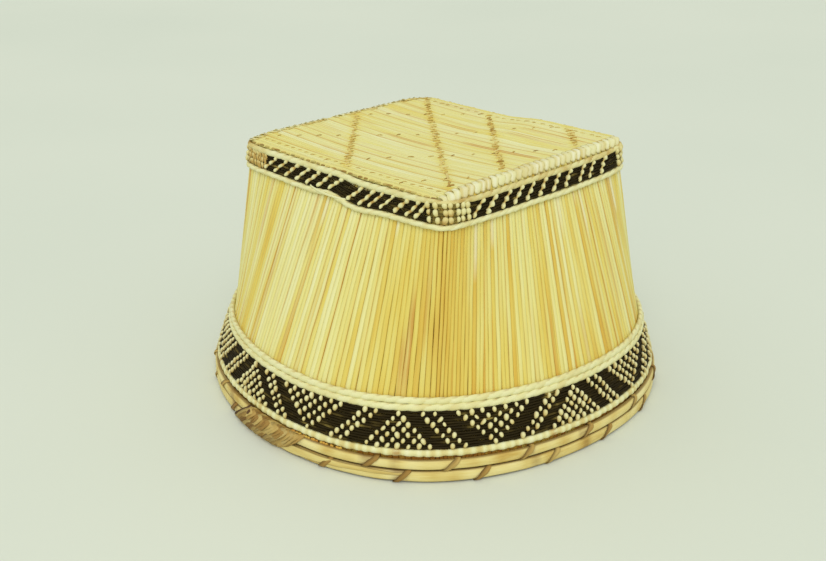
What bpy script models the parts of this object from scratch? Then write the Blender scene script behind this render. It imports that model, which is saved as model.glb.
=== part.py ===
"""Straw basket with a rectangular base and a wide, almost round mouth.

It stands mouth down on its rim, as it is stored. Close-packed straws run from the base's edges to the
mouth, so each wall is a ruled surface from a rounded rectangle to a circle that is a little square.
Rows of twining hold the straws, and two split canes are lashed round the mouth. Metres, +Z up, the
origin in the middle of the floor under the rim.
"""

import math

import bmesh
import bpy
import numpy as np

# Overall form.
HEIGHT = 0.222
BASE_LENGTH = 0.2458
BASE_WIDTH = 0.2273
BASE_CORNER_RADIUS = 0.0095
MOUTH_RADIUS = 0.1975
KNEE_RADIUS = 0.1859
MOUTH_SQUARENESS = 0.0193
MOUTH_TURN = math.radians(36.6)
FRONT_CORNER = math.radians(-45)
CLEARANCE = 0.0003

# Straws.
STRAWS_PER_FACE = 64
STRAWS_PER_BUNDLE = 16
STRAW_THICKNESS = 0.0036
FLUTE_DEPTH = 0.0012
STRAW_END_HEIGHT = 0.003
RIGHT_WALL_LEAN = 0.09
BACKING_STEP = 4
FACE_NAMES = ("right", "back", "left", "front")

# Base panel: the outer layer lies along X and bends over the two X edges, the inner one along Y.
BASE_BUNDLES = 4
INNER_STRAWS_PER_BUNDLE = 14
EDGE_BEND = 0.0075
STITCH_THICKNESS = 0.001
STITCH_WIDTH = 0.004
STITCH_OFFSET_SHARES = (-0.415, 0.049, 0.334, 0.704)
EDGE_STITCH_INSET = 0.0159

# Twined rows, from the rim up: their heights and how far they stand off the straws.
BEADED_ROW_HEIGHT = 0.0065
BAND_ROWS = 7
BAND_ROW_HEIGHT = 0.0042
BAND_CORD_HEIGHT = 0.0052
TOP_BAND_ROWS = 3
TOP_BAND_ROW_HEIGHT = 0.0041
TOP_CORD_HEIGHT = 0.0046
EDGE_CORD_HEIGHT = 0.0057
EDGE_CORD_DROP = 0.0017
STRAND_STAND_OFF = 0.0029
CORD_STAND_OFF = 0.0038
CORD_CROWN = 0.28
RING_STATIONS = 44
CORNER_STATIONS = 3

# Rim.
LOWER_HOOP_HEIGHT = 0.0098
UPPER_HOOP_HEIGHT = 0.0085
HOOP_WIDTH = 0.0052
HOOP_SHOULDER = 0.55
INNER_HOOP_HEIGHT = 0.014
INNER_HOOP_WIDTH = 0.006
INNER_HOOP_SLOPE = 0.85
HOOP_STATIONS = 48
FLOOR_GAP = 0.0002
LASHING_THICKNESS = 0.0007
LASHING_WIDTH = 0.0052
LASHING_ADVANCE = 0.0115
LASHINGS = 20
LASHING_RUN_STEPS = 3
UPPER_LASHING_TURN = math.radians(-60)
LOWER_LASHING_TURN = math.radians(-70.8)
SPLICE_START = math.radians(-104.2)
SPLICE_END = math.radians(-77.8)
SPLICE_STATIONS = 9

# Worked out from the sizes above.
STRAWS = 4 * STRAWS_PER_FACE
PANEL_TOP = HEIGHT - STITCH_THICKNESS - CLEARANCE
INNER_PANEL_TOP = PANEL_TOP - STRAW_THICKNESS - CLEARANCE
BEND_END = PANEL_TOP - EDGE_BEND
WALL_TOP = BEND_END - CLEARANCE
LASHING_ROOM = CLEARANCE + LASHING_THICKNESS
LOWER_HOOP_BASE = FLOOR_GAP + LASHING_ROOM
UPPER_HOOP_BASE = LOWER_HOOP_BASE + LOWER_HOOP_HEIGHT + LASHING_ROOM + CLEARANCE
BEADED_ROW_BASE = UPPER_HOOP_BASE + UPPER_HOOP_HEIGHT + LASHING_ROOM + CLEARANCE
BAND_BASE = BEADED_ROW_BASE + BEADED_ROW_HEIGHT
BAND_TOP = BAND_BASE + BAND_ROWS * BAND_ROW_HEIGHT
KNEE_HEIGHT = BAND_TOP + 2 * BAND_CORD_HEIGHT
RING_SAG = MOUTH_RADIUS * (1 - math.cos(math.pi / RING_STATIONS))
HOOP_SAG = MOUTH_RADIUS * (1 - math.cos(math.pi / HOOP_STATIONS))
ROW_INNER = CLEARANCE + RING_SAG
LASHING_INNER = CLEARANCE + HOOP_SAG
HOOP_INNER = LASHING_INNER + LASHING_THICKNESS + CLEARANCE + HOOP_SAG
HOOP_OUTER = HOOP_INNER + HOOP_WIDTH
CORNER_INSET = BASE_CORNER_RADIUS * (1 - math.cos(math.pi / 4))
OUTER_LAYER_HALF = BASE_WIDTH / 2 - CORNER_INSET
INNER_LAYER_HALF = BASE_LENGTH / 2 - CORNER_INSET - EDGE_BEND

# Colours and roughness of the finishes.
PALE_STRAW = ((0.78, 0.62, 0.27), 0.45)
DEEP_STRAW = ((0.70, 0.50, 0.17), 0.5)
PALE_CORD = ((0.72, 0.60, 0.34), 0.6)
BLACK_STRAND = ((0.015, 0.012, 0.01), 0.4)
SPLIT_CANE = ((0.55, 0.38, 0.14), 0.5)
BROWN_BARK = ((0.20, 0.09, 0.03), 0.6)
BROWN_STITCH = ((0.36, 0.21, 0.07), 0.6)


def clear_scene():
    """Removes whatever objects the file starts with."""
    for old in list(bpy.data.objects):
        bpy.data.objects.remove(old, do_unlink=True)


def material(name, finish):
    """A Principled material for one piece."""
    colour, roughness = finish
    made = bpy.data.materials.new(name)
    made.use_nodes = True
    shader = made.node_tree.nodes["Principled BSDF"]
    shader.inputs["Base Color"].default_value = (*colour, 1.0)
    shader.inputs["Roughness"].default_value = roughness
    shader.inputs["Metallic"].default_value = 0.0
    return made


def loft(name, loops, finish, parent, closed=False, turned=()):
    """One solid through a row of loops that have the same number of points.

    A closed loft joins its last loop to its first, and an open one has a face on each end. The strips
    numbered in turned are split along their other diagonal.
    """
    bm = bmesh.new()
    rings = [[bm.verts.new(point) for point in loop] for loop in loops]
    count = len(rings[0])
    followers = rings[1:] + (rings[:1] if closed else [])
    for first, second in zip(rings, followers):
        for here in range(count):
            there = (here + 1) % count
            if here in turned:
                bm.faces.new((first[here], first[there], second[here]))
                bm.faces.new((first[there], second[there], second[here]))
            else:
                bm.faces.new((first[here], first[there], second[there]))
                bm.faces.new((first[here], second[there], second[here]))
    if not closed:
        bm.faces.new(rings[0])
        bm.faces.new(rings[-1][::-1])
    bmesh.ops.recalc_face_normals(bm, faces=bm.faces)
    mesh = bpy.data.meshes.new(name)
    bm.to_mesh(mesh)
    bm.free()
    mesh.shade_smooth()
    mesh.set_sharp_from_angle(angle=math.radians(40))
    mesh.materials.append(material(name, finish))
    made = bpy.data.objects.new(name, mesh)
    made.parent = parent
    bpy.context.scene.collection.objects.link(made)
    return made


def base_outline(unit):
    """Points of the base's rounded outline and the outward directions there, by straw number."""
    unit = np.asarray(unit, float) % STRAWS
    face = np.floor(unit / STRAWS_PER_FACE)
    lengthways = face % 2 == 0
    half_across = np.where(lengthways, BASE_LENGTH, BASE_WIDTH) / 2
    straight = np.where(lengthways, BASE_WIDTH, BASE_LENGTH) / 2 - BASE_CORNER_RADIUS
    along = (unit / STRAWS_PER_FACE - face - 0.5) * 2 * (straight + BASE_CORNER_RADIUS * math.pi / 4)
    bend = np.clip(np.abs(along) - straight, 0, None) / BASE_CORNER_RADIUS * np.sign(along)
    turn = face * math.pi / 2
    across = half_across - BASE_CORNER_RADIUS
    level = np.clip(along, -straight, straight)
    centre = np.stack([across * np.cos(turn) - level * np.sin(turn),
                       across * np.sin(turn) + level * np.cos(turn)], -1)
    outward = np.stack([np.cos(turn + bend), np.sin(turn + bend)], -1)
    return centre + BASE_CORNER_RADIUS * outward, outward


def mouth_angle(unit):
    """The angle round the mouth that each straw comes down to."""
    unit = np.asarray(unit, float) % STRAWS
    face = np.floor(unit / STRAWS_PER_FACE)
    share = unit / STRAWS_PER_FACE - face
    lean = np.where(face == 0, RIGHT_WALL_LEAN, 0.0) * 4 * share * (1 - share)
    return FRONT_CORNER + (face + share - lean) * math.pi / 2


def mouth_point(angle, radius):
    """Points at an angle round a ring with the mouth's slightly square shape."""
    angle = np.asarray(angle, float)
    reach = radius * (1 + MOUTH_SQUARENESS * np.cos(4 * (angle - MOUTH_TURN)))
    return np.stack([reach * np.cos(angle), reach * np.sin(angle)], -1)


def wall_point(unit, height, stand_off):
    """Points stand_off outside the straws' crowns, by straw number and height.

    Above the knee each line is straight from the base's edge to the knee; below it, the wall flares
    to the mouth and then drops straight behind the rim.
    """
    unit, height, stand_off = np.broadcast_arrays(
        np.asarray(unit, float), np.asarray(height, float), np.asarray(stand_off, float))
    edge, outward = base_outline(unit)
    angle = mouth_angle(unit)
    down = np.clip((WALL_TOP - height) / (WALL_TOP - KNEE_HEIGHT), 0, 1)[..., None]
    knee = mouth_point(angle, KNEE_RADIUS + stand_off)
    ruled = (1 - down) * (edge + stand_off[..., None] * outward) + down * knee
    flared = flare_point(angle, height, stand_off)
    ruled = np.concatenate([ruled, height[..., None]], -1)
    return np.where((height >= KNEE_HEIGHT)[..., None], ruled, flared)


def flare_point(angle, height, stand_off):
    """Points stand_off outside the straws' crowns from the knee down to the rim, by angle and height."""
    angle, height, stand_off = np.broadcast_arrays(
        np.asarray(angle, float), np.asarray(height, float), np.asarray(stand_off, float))
    radius = np.interp(height, (BAND_BASE, KNEE_HEIGHT), (MOUTH_RADIUS, KNEE_RADIUS))
    return np.concatenate([mouth_point(angle, radius + stand_off), height[..., None]], -1)


def wall_bundle(name, first, parent):
    """One bundle of wall straws: a fluted panel, ruled from the base's edge to the mouth."""
    last = first + STRAWS_PER_BUNDLE
    top_pitch = 2 * (BASE_LENGTH + BASE_WIDTH) / STRAWS
    side = CLEARANCE / 2 / top_pitch * 1.4
    marks = np.linspace(first, last, 2 * STRAWS_PER_BUNDLE + 1)
    marks[0] += side
    marks[-1] -= side
    depth = np.where(np.arange(len(marks)) % 2 == 1, 0.0, -FLUTE_DEPTH)
    backing = np.linspace(marks[-1], marks[0], STRAWS_PER_BUNDLE // BACKING_STEP + 1)
    units = np.concatenate([marks, backing])
    offsets = np.concatenate([depth, np.full(len(backing), -STRAW_THICKNESS)])
    levels = (WALL_TOP, KNEE_HEIGHT, BAND_BASE, STRAW_END_HEIGHT)
    loops = [wall_point(units, level, offsets) for level in levels]
    return loft(name, loops, PALE_STRAW, parent, turned=(len(marks) - 1,))


def ring_units():
    """Straw numbers where a twined row turns: close together round the corners, wide on the walls."""
    corner = np.linspace(0, BASE_CORNER_RADIUS * math.pi / 4, CORNER_STATIONS + 1)
    pitch = (BASE_WIDTH - 2 * CORNER_INSET) / STRAWS_PER_FACE
    corner = corner / pitch
    inner = np.linspace(corner[-1], STRAWS_PER_FACE - corner[-1],
                        RING_STATIONS // 4 - 2 * CORNER_STATIONS + 1)
    far = STRAWS_PER_FACE - corner[1:-1][::-1]
    face = np.concatenate([corner[:-1], inner, far])
    return np.concatenate([face + number * STRAWS_PER_FACE for number in range(4)])


def twined_row(name, base, height, crown, stand_off, finish, point_at, stations, parent):
    """A row of twining round the wall: flat behind, with a crown as wide as its share of the row.

    point_at gives the wall's points from a station, a height and a stand-off.
    """
    low = base + CLEARANCE / 2
    high = base + height - CLEARANCE / 2
    middle = (low + high) / 2
    half = (high - low) / 2 * crown
    section = [(high, ROW_INNER), (low, ROW_INNER), (middle - half, stand_off)]
    if half > 0:
        section.append((middle + half, stand_off))
    heights = [point[0] for point in section]
    offsets = [point[1] for point in section]
    loops = [point_at(station, heights, offsets) for station in stations]
    return loft(name, loops, finish, parent, closed=True)


def twined_rows(parent):
    """The beaded row, the wide black band with its two cords, and the narrow band under the edge."""
    cord = (CORD_CROWN, CORD_STAND_OFF, PALE_CORD)
    strand = (0, STRAND_STAND_OFF, BLACK_STRAND)
    flare = (flare_point, np.arange(RING_STATIONS) * 2 * math.pi / RING_STATIONS)
    twined_row("beaded_row", BEADED_ROW_BASE, BEADED_ROW_HEIGHT, *cord, *flare, parent)
    for number in range(BAND_ROWS):
        base = BAND_TOP - (number + 1) * BAND_ROW_HEIGHT
        twined_row(f"band_strand_{number + 1}", base, BAND_ROW_HEIGHT, *strand, *flare, parent)
    twined_row("band_lower_cord", BAND_TOP, BAND_CORD_HEIGHT, *cord, *flare, parent)
    twined_row("band_upper_cord", BAND_TOP + BAND_CORD_HEIGHT, BAND_CORD_HEIGHT, *cord, *flare, parent)
    wall = (wall_point, ring_units())
    base = PANEL_TOP - EDGE_CORD_DROP - EDGE_CORD_HEIGHT
    twined_row("edge_cord", base, EDGE_CORD_HEIGHT, *cord, *wall, parent)
    for number in range(TOP_BAND_ROWS):
        base -= TOP_BAND_ROW_HEIGHT
        twined_row(f"top_band_strand_{number + 1}", base, TOP_BAND_ROW_HEIGHT, *strand, *wall, parent)
    base -= TOP_CORD_HEIGHT
    twined_row("top_band_cord", base, TOP_CORD_HEIGHT, *cord, *wall, parent)


def panel_bundle(name, along_x, low, high, straws, top, bend, half_reach, half_side, finish, parent):
    """One bundle of base straws, side by side from low to high, that bends down at both ends.

    Each straw reaches to the base's outline, so those near a corner are shorter.
    """
    marks = np.linspace(low, high, 2 * straws + 1)
    marks[0] += CLEARANCE / 2
    marks[-1] -= CLEARANCE / 2
    places = np.concatenate([marks, marks[[-1, 0]]])
    depth = np.where(np.arange(len(marks)) % 2 == 1, 0.0, FLUTE_DEPTH)
    depth = np.concatenate([depth, np.full(2, STRAW_THICKNESS)])
    into_corner = np.clip(BASE_CORNER_RADIUS - (half_side - np.abs(places)), 0, None)
    inset = BASE_CORNER_RADIUS - np.sqrt(BASE_CORNER_RADIUS ** 2 - into_corner ** 2)
    loops = []
    for end in (-1, 1):
        for turn in (90, 45, 0) if end < 0 else (0, 45, 90):
            angle = math.radians(turn)
            reach = half_reach - inset - bend + (bend - depth) * math.sin(angle)
            level = top - bend + (bend - depth) * math.cos(angle)
            pair = (end * reach, places) if along_x else (places, end * reach)
            loops.append(np.stack([*pair, level], -1))
    return loft(name, loops, finish, parent)


def base_panel(parent):
    """The base's two crossing layers of straws."""
    outer = np.linspace(-OUTER_LAYER_HALF, OUTER_LAYER_HALF, BASE_BUNDLES + 1)
    inner = np.linspace(-INNER_LAYER_HALF, INNER_LAYER_HALF, BASE_BUNDLES + 1)
    for number in range(BASE_BUNDLES):
        panel_bundle(f"base_outer_straws_{number + 1}", True, outer[number], outer[number + 1],
                     STRAWS_PER_BUNDLE, PANEL_TOP, EDGE_BEND, BASE_LENGTH / 2, BASE_WIDTH / 2,
                     PALE_STRAW, parent)
        panel_bundle(f"base_inner_straws_{number + 1}", False, inner[number], inner[number + 1],
                     INNER_STRAWS_PER_BUNDLE, INNER_PANEL_TOP, INNER_PANEL_TOP - BEND_END,
                     BASE_WIDTH / 2, BASE_LENGTH / 2, DEEP_STRAW, parent)


def stitch_ribbon(name, start, end, parent):
    """A flat row of stitching on the base, from start to end."""
    start, end = np.array(start), np.array(end)
    way = (end - start) / np.linalg.norm(end - start)
    side = np.array((-way[1], way[0])) * STITCH_WIDTH / 2
    low = PANEL_TOP + CLEARANCE
    loops = []
    for place in (start, end):
        foot = [(*(place + side), low), (*(place - side), low)]
        crown = [(*(place - side / 2), HEIGHT), (*(place + side / 2), HEIGHT)]
        loops.append(foot + crown)
    return loft(name, loops, BROWN_STITCH, parent)


def base_stitching(parent):
    """Diagonal rows of stitching across the base, and the rows along its four edges."""
    edge_x = BASE_LENGTH / 2 - EDGE_STITCH_INSET
    limit_x = edge_x - 2 * STITCH_WIDTH
    limit_y = OUTER_LAYER_HALF - STITCH_WIDTH
    for number, share in enumerate(STITCH_OFFSET_SHARES):
        offset = share * BASE_LENGTH
        start = max(-limit_x, offset - limit_y)
        end = min(limit_x, offset + limit_y)
        stitch_ribbon(f"base_stitching_{number + 1}", (start, offset - start), (end, offset - end),
                      parent)
    for name, x in (("right", edge_x), ("left", -edge_x)):
        stitch_ribbon(f"{name}_edge_stitching", (x, -limit_y), (x, limit_y), parent)
    inner = OUTER_LAYER_HALF + CLEARANCE
    outer = BASE_WIDTH / 2
    chamfer = (outer - inner) / 4
    low = INNER_PANEL_TOP + CLEARANCE
    section = [(inner, low), (outer, low), (outer - chamfer, HEIGHT), (inner + chamfer, HEIGHT)]
    for name, side in (("front", -1), ("back", 1)):
        loops = [[(x, side * across, level) for across, level in section]
                 for x in (-INNER_LAYER_HALF, INNER_LAYER_HALF)]
        loft(f"{name}_edge_stitching", loops, BROWN_STITCH, parent)


def hoop_section(base, height):
    """A split cane's section as stand-off and height pairs: flat inside and round outside."""
    shoulder = HOOP_INNER + HOOP_SHOULDER * HOOP_WIDTH
    return [(HOOP_INNER, base + height), (HOOP_INNER, base), (shoulder, base),
            (HOOP_OUTER, base + height / 2), (shoulder, base + height)]


def spread(section, distance):
    """The section with each side moved out by distance and each corner mitred."""
    points = np.array(section)
    before = points - np.roll(points, 1, 0)
    after = np.roll(points, -1, 0) - points
    before /= np.linalg.norm(before, axis=1)[:, None]
    after /= np.linalg.norm(after, axis=1)[:, None]
    normals = [np.stack([-side[:, 1], side[:, 0]], -1) for side in (before, after)]
    middle = normals[0] + normals[1]
    middle /= (1 + (normals[0] * normals[1]).sum(1))[:, None]
    area = (points[:, 0] * np.roll(points[:, 1], -1) - np.roll(points[:, 0], -1) * points[:, 1]).sum()
    return points + middle * (distance if area < 0 else -distance)


def hoops(parent):
    """The two split canes round the mouth and the hoop inside the straws' ends."""
    turns = np.arange(HOOP_STATIONS) * 2 * math.pi / HOOP_STATIONS
    for name, base, height in (("lower_rim_hoop", LOWER_HOOP_BASE, LOWER_HOOP_HEIGHT),
                               ("upper_rim_hoop", UPPER_HOOP_BASE, UPPER_HOOP_HEIGHT)):
        section = np.array(hoop_section(base, height))
        loops = [flare_point(turn, section[:, 1], section[:, 0]) for turn in turns]
        loft(name, loops, SPLIT_CANE, parent, closed=True)
    backing_sag = MOUTH_RADIUS * (1 - math.cos(math.pi * BACKING_STEP / STRAWS))
    outer = -STRAW_THICKNESS - 2 * backing_sag - CLEARANCE
    inner = outer - INNER_HOOP_WIDTH
    offsets = (outer, outer, inner, inner)
    heights = (0, INNER_HOOP_HEIGHT, INNER_HOOP_HEIGHT * INNER_HOOP_SLOPE, 0)
    loops = [flare_point(turn, heights, offsets) for turn in turns]
    loft("inner_rim_hoop", loops, SPLIT_CANE, parent, closed=True)


def in_splice(angle):
    """True where a lashing would meet the wrapping of the splice."""
    margin = 1.5 * LASHING_WIDTH / MOUTH_RADIUS
    middle = (SPLICE_START + SPLICE_END) / 2
    away = (angle - middle + math.pi) % (2 * math.pi) - math.pi
    return abs(away) < (SPLICE_END - SPLICE_START) / 2 + margin


def lashing(name, base, height, first_turn, parent):
    """One unbroken strip that runs behind a hoop and passes round it at even distances.

    Each turn leaves the run behind the hoop downwards, comes round under it and up its face with a
    slant, over its top and back to the run a little further on.
    """
    section = hoop_section(base, height)
    padded = [(stand_off - HOOP_SAG if index < 2 else stand_off, level)
              for index, (stand_off, level) in enumerate(section)]
    near = spread(padded, CLEARANCE)
    far = spread(padded, CLEARANCE + LASHING_THICKNESS)
    order = (1, 2, 3, 4, 0)
    behind = (near[0][0], far[0][0])
    middle = base + height / 2
    half = LASHING_WIDTH / 2
    half_angle = half / MOUTH_RADIUS
    advance = LASHING_ADVANCE / MOUTH_RADIUS / 2
    pitch = 2 * math.pi / LASHINGS
    loops = []

    def across_run(angle, slant):
        corners = [(angle + slant * half_angle, middle + half, behind[0]),
                   (angle - slant * half_angle, middle - half, behind[0]),
                   (angle - slant * half_angle, middle - half, behind[1]),
                   (angle + slant * half_angle, middle + half, behind[1])]
        loops.append([flare_point(*corner) for corner in corners])

    for number in range(LASHINGS):
        centre = first_turn + number * pitch
        start, end = centre - advance, centre + advance
        if in_splice(centre):
            across_run(start, 0)
            across_run(end, 0)
        else:
            across_run(start, 1)
            for step, index in enumerate(order):
                angle = start + (end - start) * (step + 0.5) / len(order)
                loops.append([flare_point(angle + half_angle, near[index][1], near[index][0]),
                              flare_point(angle - half_angle, near[index][1], near[index][0]),
                              flare_point(angle - half_angle, far[index][1], far[index][0]),
                              flare_point(angle + half_angle, far[index][1], far[index][0])])
            across_run(end, 1)
        for step in range(1, LASHING_RUN_STEPS):
            across_run(end + (pitch - 2 * advance) * step / LASHING_RUN_STEPS, 0)
    return loft(name, loops, BROWN_BARK, parent, closed=True)


def splice_wrapping(parent):
    """The bark sleeve over both canes where their ends meet, open towards the straws."""
    lower = hoop_section(LOWER_HOOP_BASE, LOWER_HOOP_HEIGHT)
    upper = hoop_section(UPPER_HOOP_BASE, UPPER_HOOP_HEIGHT)
    both = [upper[0], lower[1], lower[2], lower[3], upper[3], upper[4]]
    near = spread(both, CLEARANCE)
    far = spread(both, LASHING_ROOM)
    near[:2, 0] = HOOP_INNER
    far[:2, 0] = HOOP_INNER
    order = (1, 2, 3, 4, 5, 0)
    section = np.array([near[index] for index in order] + [far[index] for index in order[::-1]])
    turns = np.linspace(SPLICE_START, SPLICE_END, SPLICE_STATIONS)
    loops = [flare_point(turn, section[:, 1], section[:, 0]) for turn in turns]
    return loft("rim_splice_wrapping", loops, BROWN_BARK, parent)


def main():
    """Builds the basket from the rim to the base."""
    clear_scene()
    basket = bpy.data.objects.new("basket", None)
    bpy.context.scene.collection.objects.link(basket)
    hoops(basket)
    lashing("lower_rim_lashing", LOWER_HOOP_BASE, LOWER_HOOP_HEIGHT, LOWER_LASHING_TURN, basket)
    lashing("upper_rim_lashing", UPPER_HOOP_BASE, UPPER_HOOP_HEIGHT, UPPER_LASHING_TURN, basket)
    splice_wrapping(basket)
    for face, face_name in enumerate(FACE_NAMES):
        for number in range(STRAWS_PER_FACE // STRAWS_PER_BUNDLE):
            first = face * STRAWS_PER_FACE + number * STRAWS_PER_BUNDLE
            wall_bundle(f"{face_name}_wall_straws_{number + 1}", first, basket)
    twined_rows(basket)
    base_panel(basket)
    base_stitching(basket)


main()
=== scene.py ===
"""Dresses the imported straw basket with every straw, strand, stitch and strip as its own surface.

The basket stands mouth down. Straws run over the base and down all four walls, twined rows hold them, and
split canes lashed with bark close the rim. Metres throughout, +Z up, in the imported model's own frame.
"""

import logging
import math
from collections.abc import Sequence
from dataclasses import dataclass, field
from enum import Enum
from typing import Any

import bpy
import numpy as np
from mathutils import Matrix, Vector


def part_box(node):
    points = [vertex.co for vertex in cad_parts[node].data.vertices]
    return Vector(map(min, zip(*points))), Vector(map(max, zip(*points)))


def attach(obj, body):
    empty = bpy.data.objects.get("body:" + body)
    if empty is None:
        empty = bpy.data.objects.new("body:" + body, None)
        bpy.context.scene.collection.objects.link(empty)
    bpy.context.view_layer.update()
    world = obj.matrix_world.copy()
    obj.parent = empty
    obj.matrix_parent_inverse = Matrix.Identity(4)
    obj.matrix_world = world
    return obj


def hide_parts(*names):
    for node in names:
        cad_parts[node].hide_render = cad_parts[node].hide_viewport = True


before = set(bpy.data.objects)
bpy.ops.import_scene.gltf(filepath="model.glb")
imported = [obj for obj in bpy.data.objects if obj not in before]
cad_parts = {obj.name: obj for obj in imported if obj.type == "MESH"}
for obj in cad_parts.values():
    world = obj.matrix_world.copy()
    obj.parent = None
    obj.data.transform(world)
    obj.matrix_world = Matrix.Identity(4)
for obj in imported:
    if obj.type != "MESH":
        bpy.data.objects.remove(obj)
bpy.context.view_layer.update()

BODY = "root"
SEED = 1907
# Stations round a twined row and round a cane, and times that a row's strands dip on their way round.
ROW_STATIONS = 384
CANE_STATIONS = 420
ROW_DIPS = 64
# Gap between neighbouring CAD solids, and how far behind the straws' crowns a row's inner side lies.
CLEARANCE = 0.0003
BEHIND = 0.0046
FULL_TURN = 2 * math.pi
UP = np.array((0.0, 0.0, 1.0))

log = logging.getLogger("basket")
Array = np.ndarray
Number = Array | float


def unit_length(vectors: Array) -> Array:
    """Scales vectors to length one."""
    return vectors / np.maximum(np.linalg.norm(vectors, axis=-1, keepdims=True), 1e-12)


def alike(*values: Number) -> list[Array]:
    """Numbers and arrays as arrays of one shape."""
    return np.broadcast_arrays(*(np.asarray(value, float) for value in values))


def stations(count: int) -> Array:
    """Even shares of the way round, from 0 on."""
    return np.arange(count) / count


def smooth_step(value: Array) -> Array:
    """Goes from 0 to 1 with level ends: three squares less two cubes of the clipped value."""
    clipped = np.clip(value, 0, 1)
    return clipped * clipped * (3 - 2 * clipped)


def span(node: str) -> tuple[float, float]:
    """The lowest and highest height of a CAD node."""
    low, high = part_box(node)
    return low[2], high[2]


def tube(centre: Array, facing: Array, half_side: Array, half_out: Array, around: int = 8,
         power: Number = 2.0, closed: bool = False) -> Array:
    """Carries a rounded section along many paths at once.

    The section is a superellipse, and its depth points along facing made square to the path.

    Args:
        centre: Path points, strips x rows x 3.
        facing: Direction of the outer side, broadcast to centre.
        half_side: Half width, broadcast to strips x rows.
        half_out: Half depth, broadcast to strips x rows.
        around: Points round the section.
        power: 2 for an ellipse, more for a squarer section, one number or strips x rows.
        closed: Whether each path comes back to its start.

    Returns:
        Points, strips x rows x around x 3.
    """
    if closed:
        ahead = np.roll(centre, -1, 1) - np.roll(centre, 1, 1)
    else:
        ahead = np.gradient(centre, axis=1)
    side = unit_length(np.cross(np.broadcast_to(facing, centre.shape), ahead))
    out = unit_length(np.cross(ahead, side))
    across, depth = section(around, power)
    wide = np.broadcast_to(half_side, centre.shape[:2])[..., None] * across
    deep = np.broadcast_to(half_out, centre.shape[:2])[..., None] * depth
    return centre[:, :, None] + side[:, :, None] * wide[..., None] + out[:, :, None] * deep[..., None]


def squarish(turn: Array, power: Number) -> tuple[Array, Array]:
    """A superellipse's two shares: cosine and sine, each to the power 2/power with its sign kept."""
    cosine, sine = np.cos(turn), np.sin(turn)
    share = 2 / power
    return np.sign(cosine) * np.abs(cosine) ** share, np.sign(sine) * np.abs(sine) ** share


def section(around: int, power: Number = 2.0) -> tuple[Array, Array]:
    """Across and depth shares, from -1 to 1, of the points round a section, from its inner side on."""
    turn = np.arange(around) * FULL_TURN / around - math.pi / 2
    return squarish(turn, np.asarray(power, float)[..., None])


def near_sides(around: int, start: float) -> Array:
    """Nearness to the sides of a section: a smooth step of the share across it, from start to 1."""
    across, _ = section(around)
    return smooth_step((np.abs(across) - start) / (1 - start))


def stitches(start: Array, end: Array, facing: Array, rise: Array, half_width: Array, rows: int = 6,
             around: int = 8, depth_share: float = 0.8, taper: float = 0.0) -> Array:
    """Arched stitches, fat in the middle, that dive in at both ends.

    Along each stitch the centre goes from start to end and rises by the sine of the way gone. The section's
    half width swells with the same sine to the power 0.6, and grows evenly by the taper from start to end.

    Args:
        start: Where each stitch comes up, stitches x 3.
        end: Where it goes in again, stitches x 3.
        facing: Outward direction, broadcast to start.
        rise: Height of the arch, broadcast to stitches.
        half_width: Half width in the middle, broadcast to stitches.
        rows: Stations along a stitch.
        around: Points round its section.
        depth_share: Half depth as a share of the half width.
        taper: How much wider the end is than the start, as a share.

    Returns:
        Points, stitches x rows x around x 3.
    """
    turn = np.linspace(0.07, 0.93, rows) * math.pi
    share = (1 - np.cos(turn)) / 2
    swell = np.sin(turn) ** 0.6 * (1 + taper * (share - 0.5))
    count = len(start)
    rise = np.broadcast_to(rise, count)[:, None, None]
    half_width = np.broadcast_to(half_width, count)[:, None] * swell
    facing = np.broadcast_to(facing, start.shape)[:, None]
    centre = start[:, None] + (end - start)[:, None] * share[:, None] + facing * rise * np.sin(turn)[:, None]
    return tube(centre, facing, half_width, half_width * depth_share, around)


@dataclass
class Sheet:
    """A family of like surfaces on one parameter grid, with rows along each strip and columns across it.

    Attributes:
        points: Strips x rows x columns x 3.
        values: Named numbers for the material, each broadcast to strips x rows x columns.
        ringed: Whether the rows come back to the first.
        tubular: Whether the columns come back to the first. Open tubes have a face on each end.
    """

    points: Array
    values: dict[str, Any] = field(default_factory=dict)
    ringed: bool = False
    tubular: bool = True

    def distances(self) -> tuple[Array, Array]:
        """Lengths for the UV map.

        Returns:
            The distance along each strip, strips x (rows + 1), and each strip's width, strips.
        """
        middle = self.points.mean(2)
        steps = np.linalg.norm(np.roll(middle, -1, 1) - middle, axis=-1)
        along = np.concatenate([np.zeros((len(steps), 1)), np.cumsum(steps, 1)], 1)
        girth = np.linalg.norm(np.roll(self.points, -1, 2) - self.points, axis=-1)
        return along, girth[:, self.points.shape[1] // 2].sum(-1)

    def quads(self) -> tuple[Array, Array]:
        """The four-sided faces.

        Returns:
            Point numbers, faces x 4, and UVs, faces x 4 x 2, in metres round and along the strip.
        """
        strips, rows, columns = self.points.shape[:3]
        strip, row, column = np.meshgrid(np.arange(strips), np.arange(rows - (not self.ringed)),
                                         np.arange(columns - (not self.tubular)), indexing="ij")
        corner_row = np.stack([row, row, row + 1, row + 1], -1).reshape(-1, 4)
        corner_column = np.stack([column, column + 1, column + 1, column], -1).reshape(-1, 4)
        strip = strip.reshape(-1, 1)
        numbers = (strip * rows + corner_row % rows) * columns + corner_column % columns
        along, girth = self.distances()
        uvs = np.stack([corner_column / columns * girth[strip], along[strip, corner_row]], -1)
        return numbers, uvs

    def caps(self) -> Array:
        """The end faces of open tubes as point numbers, faces x columns."""
        strips, rows, columns = self.points.shape[:3]
        if self.ringed or not self.tubular:
            return np.zeros((0, columns), int)
        first = np.arange(strips)[:, None] * rows * columns + np.arange(columns)
        return np.concatenate([first[:, ::-1], first + (rows - 1) * columns])


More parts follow.
